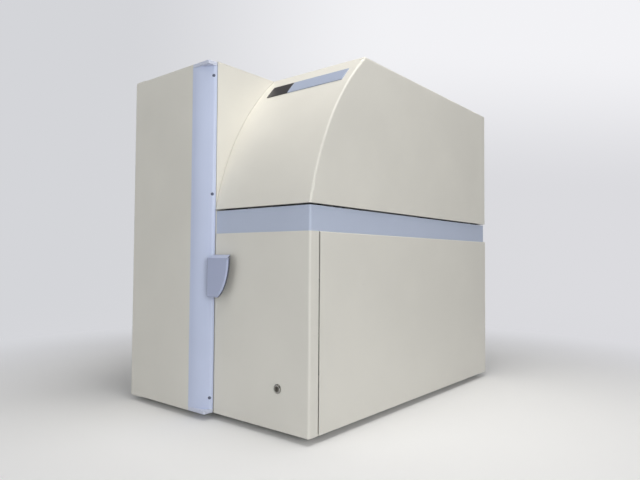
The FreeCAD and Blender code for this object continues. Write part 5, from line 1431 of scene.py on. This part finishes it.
@dataclass
class Door(Assembly):
    """The door of the tower with its edge trim and pull."""

    body: str = "door"
    skins: tuple[Skin, ...] = (
        Skin("door_panel", PALE_PAINT, 0.6 * MM, 3),
        Skin("pivot_blocks", DARK_PLASTIC, 0.4 * MM),
        Skin("door_edge_trim", TRIM_SKIN, 0.25 * MM),
        Skin("trim_end_caps", CAP_SKIN, 0.6 * MM, 3),
        Skin("door_liner", PALE_PAINT, 0.3 * MM),
        Skin("door_gasket", SEAL_FOAM, 0.4 * MM),
    )
    screw_aim: float = 45.0
    screw_gap: float = 20 * MM
    screw_turn: float = 31.0
    pull_edge: float = 0.9 * MM
    pull_cap: float = 3 * MM
    roof_slope: float = 0.3
    liner_inset: float = 17 * MM
    liner_rows: int = 6
    liner_turn: float = 23.0
    liner_head: ScrewHead = field(default_factory=lambda: ScrewHead(2.5 * MM, 1 * MM))

    def build(self) -> None:
        """Dresses the door, its pull with painted shade on its side walls, and the screws of its trim and liner."""
        super().build()
        self.trim_heads()
        self.pull()
        self.liner_heads()

    def pull(self) -> None:
        """The pull: a blue cap and roof, its side walls behind the cap painted dark as painted shade of the gap
        behind the pull.
        """
        mesh = Piece.clad(Piece.softened("door_handle", self.pull_edge, 3), HANDLE_SKIN, PULL_PAINTED_SHADE)
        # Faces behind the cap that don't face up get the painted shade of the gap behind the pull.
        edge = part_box("door_handle")[0].y + self.pull_cap
        for face in mesh.polygons:
            if face.center.y > edge and face.normal.z < self.roof_slope:
                face.material_index = 1
        self.form("door_handle", mesh)

    def liner_heads(self) -> None:
        """Screws that hold the liner to the door, inside its seal."""
        low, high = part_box("door_liner")
        inset = self.liner_inset
        pitch = (high.z - low.z - 4 * inset) / (self.liner_rows - 1)
        spots = [seat("door_liner", (x, high.y + inset, low.z + 2 * inset + pitch * row), (0, -1, 0),
                      self.liner_turn * row)
                 for x in (low.x + inset, high.x - inset) for row in range(self.liner_rows)]
        self.screws("liner_screws", self.liner_head, spots, PLATE_STEEL, "door_liner")

    def trim_heads(self) -> None:
        """Cross-head screws in the counterbores of the trim."""
        low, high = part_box("trim_screws")
        aim = math.radians(self.screw_aim)
        outward = Vector((math.cos(aim), -math.sin(aim), 0))
        head = ScrewHead()
        heights = sorted({round(v.co.z, 4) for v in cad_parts["trim_screws"].data.vertices})
        lowest, highest = heights[0] + head.radius, high.z - head.radius
        inner = [h for h in heights if lowest + self.screw_gap < h < highest - self.screw_gap]
        spot = (low + high) / 2 - outward * head.height / 2
        frames = [facing((spot.x, spot.y, z), outward, self.screw_turn * z / high.z)
                  for z in (lowest, (min(inner) + max(inner)) / 2, highest)]
        self.screws("trim_screw_heads", head, frames, SCREW_DARK, "trim_screws", ["trim_screws"])


@dataclass
class Hood(Assembly):
    """The light-tight hood with its bare badge."""

    body: str = "hood"
    skins: tuple[Skin, ...] = (
        Skin("badge_dark", BADGE_DARK, 0.25 * MM),
        Skin("badge_blue", BADGE_BLUE, 0.25 * MM),
        Skin("hood_hinge_arms", PLATE_STEEL, 0.4 * MM),
    )
    wall: float = 3 * MM
    front_radius: float = 520 * MM
    front_centre: tuple[float, float] = (169.4 * MM, 298.2 * MM)
    front_end: float = 200 * MM
    edge: float = 0.6 * MM
    inside_at: tuple[float, float] = (100 * MM, 50 * MM)
    lining_share: float = 0.9

    def build(self) -> None:
        """Dresses the hood, black inside and pale outside."""
        super().build()
        mesh = Piece.clad(Piece.softened("hood_shell", self.edge, 3), HOOD_SKIN, HOOD_INSIDE)
        low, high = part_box("hood_shell")
        behind, above = self.inside_at
        middle = Vector(((low.x + high.x) / 2, (low.y + high.y) / 2 + behind, low.z + above))
        skin = self.wall * self.lining_share
        for face in mesh.polygons:
            spot = face.center
            inside = (low.x + skin < spot.x < high.x - skin and spot.y < high.y - skin
                      and low.z + skin < spot.z < high.z - skin and self.depth(spot, high) > skin)
            if inside and (middle - spot).dot(face.normal) > 0:
                face.material_index = 1
        self.form("hood_shell", mesh)

    def depth(self, point: Vector, high: Vector) -> float:
        """Measures how far a point lies inside the curved front.

        Args:
            point: The point.
            high: The upper corner of the hood's box.

        Returns:
            The depth in metres, or 1 where the front isn't near.
        """
        centre_y, centre_z = self.front_centre
        if point.y > centre_y - self.front_end or point.z > high.z - self.wall:
            return 1.0
        return self.front_radius - math.hypot(point.y - centre_y, point.z - centre_z)


@dataclass
class ThreadedBar:
    """A lead screw with a several-start thread and plain journals."""

    radius: float = 6 * MM
    journal: float = 4 * MM
    pitch: float = 5 * MM
    starts: int = 4
    depth: float = 0.9 * MM
    root_share: float = 0.25
    flank_share: float = 0.5
    sides: int = 24
    rings_per_pitch: int = 6

    def flank(self, height: float, turn: float) -> float:
        """Finds the thread's surface.

        Args:
            height: The height along the thread.
            turn: The angle round it.

        Returns:
            The radius there.
        """
        lead = self.pitch * self.starts
        phase = (height / lead - turn / (2 * math.pi)) * self.starts
        away = abs((phase % 1.0) - 0.5) * 2.0
        crest = min(1.0, max(0.0, (away - self.root_share) / self.flank_share))
        return self.radius - self.depth * (1.0 - crest)

    def mesh(self, name: str, length: float, journals: tuple[float, float], place: Matrix) -> bpy.types.Mesh:
        """Makes the bar along its local Z axis.

        Args:
            name: The mesh's name.
            length: The thread's length.
            journals: The lower and the upper journal's length.
            place: Where its lower thread end goes.

        Returns:
            The mesh with its finish.
        """
        below, above = journals
        rings = int(length / self.pitch * self.rings_per_pitch)
        levels = [(-below, False), (0.0, False)] if below > 0 else []
        levels += [(length * index / rings, True) for index in range(rings + 1)]
        levels += [(length, False), (length + above, False)] if above > 0 else []
        turns = [2 * math.pi * side / self.sides for side in range(self.sides)]
        shape = bmesh.new()
        rows = []
        for height, cut in levels:
            radii = [self.flank(height, turn) if cut else self.journal for turn in turns]
            rows.append([shape.verts.new((r * math.cos(t), r * math.sin(t), height)) for r, t in zip(radii, turns)])
        for low, high in zip(rows, rows[1:]):
            Piece.bridge(shape, low, high)
        shape.faces.new(rows[0][::-1])
        shape.faces.new(rows[-1])
        shape.transform(place)
        return Piece.clad(Piece.closed(shape, name, 40), RAIL_STEEL)


@dataclass
class Lift(Assembly):
    """The plate magazine on its lift, and the lift's screw."""

    body: str = "lift"
    skins: tuple[Skin, ...] = (
        Skin("lift_carriage", BARE_ALUMINIUM, 0.5 * MM),
        Skin("lift_bushes", BRASS),
        Skin("lift_platform", BARE_ALUMINIUM, 0.5 * MM),
        Skin("magazine_base", BLACK_ANODISED, 0.5 * MM),
        Skin("magazine_posts", BARE_ALUMINIUM, 0.4 * MM),
        Skin("magazine_ledges", BARE_ALUMINIUM, 0.25 * MM),
        Skin("magazine_backstop", BARE_ALUMINIUM),
        Skin("magazine_top", BLACK_ANODISED, 0.5 * MM),
    )
    journal: float = 10 * MM
    top_inset: float = 5 * MM
    top_turn: float = 50.0
    top_head: ScrewHead = field(default_factory=lambda: ScrewHead(2.75 * MM, 2.2 * MM, Drive.SOCKET))

    def build(self) -> None:
        """Dresses the lift, screws its magazine together and cuts its screw's thread."""
        super().build()
        low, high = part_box("magazine_top")
        inset = self.top_inset
        corners = [(x, y) for x in (low.x + inset, high.x - inset) for y in (low.y + inset, high.y - inset)]
        spots = [seat("magazine_top", (*corner, high.z + inset), (0, 0, -1), self.top_turn * index)
                 for index, corner in enumerate(corners)]
        self.screws("magazine_screws", self.top_head, spots, SCREW_BLACK, "magazine_top")
        low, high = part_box("lift_screw")
        place = Matrix.Translation(((low.x + high.x) / 2, (low.y + high.y) / 2, low.z + self.journal))
        mesh = ThreadedBar().mesh("lift_lead_screw", high.z - low.z - 2 * self.journal, (self.journal, self.journal),
                                  place)
        Piece.join("lift_lead_screw", mesh, "lift_screw_body", "lift_screw", ["lift_screw"])


@dataclass
class Transfer(Assembly):
    """The tray with its pulleys."""

    body: str = "tray"
    skins: tuple[Skin, ...] = (Skin("plate_tray", BLACK_ANODISED),)

    def build(self) -> None:
        """Dresses the tray and its pulleys."""
        super().build()
        drive = ToothedDrive()
        for body in ("tray_drive", "tray_idler"):
            node = body + "_pulley"
            low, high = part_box(node)
            middle = Vector(((low.x + high.x) / 2, (low.y + high.y) / 2, high.z - drive.width))
            wheel = drive.wheel(body + "_wheel", middle, body == "tray_idler")
            if body == "tray_drive":
                rise = middle.z - low.z
                shaft = Piece.lathe([(0, 0), (drive.shaft, 0), (drive.shaft, rise), (0, rise)], 24, "drive_shaft",
                                    Matrix.Translation((middle.x, middle.y, low.z)))
                wheel = Piece.merged([wheel, shaft], body + "_wheel")
            Piece.join("form_" + node, Piece.clad(wheel, BARE_ALUMINIUM), body, node, [node])


@dataclass
class DetectorTube:
    """A turned detector housing: a foot ring, a body with a groove, a screwed cap and its connector."""

    ring: float = 3.2 * MM
    skin_inset: float = 1.7 * MM
    cap_inset: float = 0.6 * MM
    cap_rise: float = 14 * MM
    groove_share: float = 0.55
    plug: float = 6.5 * MM
    plug_rise: float = 6 * MM
    collar: float = 2 * MM
    socket: float = 3 * MM
    pin: float = 1 * MM
    step: float = 0.4 * MM
    sides: int = 48

    def mesh(self, name: str, r: float, tall: float) -> bpy.types.Mesh:
        """Turns the housing about the local Z axis.

        Args:
            name: The mesh's name.
            r: Its outer radius.
            tall: Its height.

        Returns:
            The mesh.
        """
        step = self.step
        skin = r - self.skin_inset
        cap = r - self.cap_inset
        plug = self.plug
        groove = self.groove_share * tall
        top = tall - self.plug_rise
        seam = top - self.cap_rise
        well = tall - self.socket
        profile = [(0, 0), (r, 0), (r, self.ring), (r - step, self.ring + step), (skin, self.ring + step),
                   (skin, groove), (skin - step, groove + step), (skin - step, groove + 3 * step),
                   (skin, groove + 4 * step), (skin, seam), (cap, seam + step), (cap, top - 2 * step),
                   (cap - 2 * step, top), (plug + 2 * step, top), (plug, top + step),
                   (plug, tall - self.collar - step), (plug - step, tall - self.collar), (plug - step, tall - step),
                   (plug - 2 * step, tall), (plug - 4 * step, tall), (plug - 4 * step, well), (self.pin, well),
                   (self.pin, tall - self.pin), (0, tall - self.pin)]
        return Piece.lathe(profile, self.sides, name)


@dataclass
class DetectorHead(Assembly):
    """The scanning head with its light detectors and lead screw."""

    body: str = "head"
    skins: tuple[Skin, ...] = (
        Skin("head_carriage", BARE_ALUMINIUM, 0.5 * MM),
        Skin("detector_block", BLACK_ANODISED, 0.6 * MM),
    )
    journal: float = 10.3 * MM

    def build(self) -> None:
        """Dresses the head, turns its detectors and cuts its screw's thread."""
        super().build()
        boxes = islands("detector_tubes")
        low, high = boxes[0]
        item = DetectorTube().mesh("detector_tube", (high.x - low.x) / 2, high.z - low.z)
        places = [Matrix.Translation(((a.x + b.x) / 2, (a.y + b.y) / 2, a.z)) for a, b in boxes]
        self.form("detector_tubes", REPEATER.spread(item, places, BLACK_ANODISED, "detector_tubes"))
        low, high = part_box("head_screw")
        place = facing(((low.x + high.x) / 2, low.y, (low.z + high.z) / 2), (0, 1, 0))
        mesh = ThreadedBar().mesh("head_lead_screw", high.y - low.y - self.journal, (0.0, self.journal), place)
        Piece.join("head_lead_screw", mesh, "head_screw_body", "head_screw", ["head_screw"])


@dataclass(frozen=True)
class Lamp:
    """A soft square lamp: its place, side in metres, power in watts, colour and what it points at."""

    name: str
    place: Place
    size: float
    power: float
    colour: Colour
    aim: Place = (0.0, 0.0, 0.35)

    def hang(self) -> None:
        """Adds the lamp to the scene."""
        data = bpy.data.lights.new(self.name, "AREA")
        data.size = self.size
        data.energy = self.power
        data.color = self.colour
        made = linked(self.name, data)
        made.location = self.place
        made.rotation_euler = (Vector(self.aim) - Vector(self.place)).to_track_quat("-Z", "Y").to_euler()


@dataclass
class Stage:
    """Floor, backdrop, lamps and the camera at the photograph's place."""

    eye: Place = (0.8125, -1.0152, 0.3025)
    yaw: float = 39.36
    pitch: float = 1.885
    roll: float = 0.419
    lens: float = 30.76
    sensor: float = 36.0
    floor_colour: Colour = screen(222, 222, 224)
    ambient: float = 0.115
    ambient_colour: Colour = (0.96, 0.98, 1.0)
    sky: Colour = screen(218, 218, 222)
    reach: float = 9.0
    back: float = 1.9
    bend: float = 1.1
    bend_steps: int = 12
    lamps: tuple[Lamp, ...] = (
        Lamp("ceiling_back", (0.2, 1.2, 2.0), 1.2, 3.0, (1.0, 1.0, 1.0)),
        Lamp("ceiling_front", (0.35, -0.7, 2.0), 1.2, 9.5, (1.0, 0.965, 0.92)),
        Lamp("ceiling_near", (0.42, -0.1, 1.9), 0.8, 10.5, (1.0, 0.985, 0.96)),
        Lamp("ceiling_right", (1.8, -0.3, 1.5), 1.0, 3.8, (1.0, 0.965, 0.93)),
        Lamp("window_right", (3.0, -1.8, 0.9), 1.6, 37.0, (0.955, 0.985, 1.0)),
        Lamp("window_front", (-0.3, -2.8, 1.3), 2.4, 14.4, (0.95, 0.98, 1.0)),
    )

    def build(self) -> None:
        """Makes everything that isn't the reader."""
        self.sweep()
        self.camera()
        self.world()
        for lamp in self.lamps:
            lamp.hang()

    def sweep(self) -> None:
        """A floor that bends up into the backdrop, away from the camera."""
        shape = bmesh.new()
        angle = math.radians(self.yaw)
        away = Vector((-math.sin(angle), math.cos(angle), 0))
        side = Vector((math.cos(angle), math.sin(angle), 0))
        turns = [math.pi / 2 * step / self.bend_steps for step in range(1, self.bend_steps + 1)]
        outline = [(-self.reach, 0.0), (self.back, 0.0),
                   *((self.back + self.bend * math.sin(t), self.bend * (1 - math.cos(t))) for t in turns),
                   (self.back + self.bend, self.reach)]
        rows = [[shape.verts.new(away * run + side * across + Vector((0, 0, rise)))
                 for across in (-self.reach, self.reach)] for run, rise in outline]
        for low, high in zip(rows, rows[1:]):
            shape.faces.new((low[0], low[1], high[1], high[0]))
        mesh = Piece.smooth(Piece.plain(shape, "sweep"), 60)
        floor = SweepPaper("sweep_paper", self.floor_colour, 0.85, patch=900 * MM, patch_share=0.01, turn=self.yaw)
        linked("sweep", Piece.clad(mesh, floor))

    def camera(self) -> None:
        """The camera, turned as the photograph's straight edges say."""
        yaw, pitch, roll = (math.radians(a) for a in (self.yaw, self.pitch, self.roll))
        right = Vector((math.cos(yaw), math.sin(yaw), 0))
        ahead = Vector((-math.sin(yaw) * math.cos(pitch), math.cos(yaw) * math.cos(pitch), math.sin(pitch)))
        up = right.cross(ahead)
        turned_right = right * math.cos(roll) + up * math.sin(roll)
        turned_up = up * math.cos(roll) - right * math.sin(roll)
        turn = Matrix((turned_right, turned_up, -ahead)).transposed().to_4x4()
        data = bpy.data.cameras.new("photo_camera")
        data.lens = self.lens
        data.sensor_width = self.sensor
        data.clip_start = 0.02
        data.clip_end = 60.0
        made = linked("photo_camera", data)
        made.matrix_world = Matrix.Translation(Vector(self.eye)) @ turn
        bpy.context.scene.camera = made

    def world(self) -> None:
        """Even pale light from all round, and a plain pale sky to the camera."""
        world = bpy.data.worlds.new("studio")
        bpy.context.scene.world = world
        world.use_nodes = True
        tree = world.node_tree
        light = tree.nodes["Background"]
        light.inputs["Color"].default_value = (*self.ambient_colour, 1.0)
        light.inputs["Strength"].default_value = self.ambient
        seen, path, mixed = (tree.nodes.new("ShaderNode" + kind) for kind in ("Background", "LightPath", "MixShader"))
        seen.inputs["Color"].default_value = (*self.sky, 1.0)
        for socket, source in enumerate((path.outputs["Is Camera Ray"], light.outputs[0], seen.outputs[0])):
            tree.links.new(source, mixed.inputs[socket])
        tree.links.new(mixed.outputs[0], tree.nodes["World Output"].inputs["Surface"])


def main() -> None:
    """Builds the reader's looks and the studio round it."""
    logging.basicConfig(level=logging.INFO, format="%(message)s")
    for part in (Housing(), Door(), Hood(), Lift(), Transfer(), DetectorHead(),
                 Assembly("lock", (Skin("lock_plug", KEY_DARK),)),
                 Assembly("fan", (Skin("fan_rotor", DARK_PLASTIC),)),
                 Assembly("rocker", (Skin("power_rocker", DARK_PLASTIC, 0.3 * MM),)), Stage()):
        part.build()
        LOG.info("%s built", type(part).__name__)
    bpy.context.scene.view_settings.view_transform = "Standard"


if __name__ == "__main__":
    main()
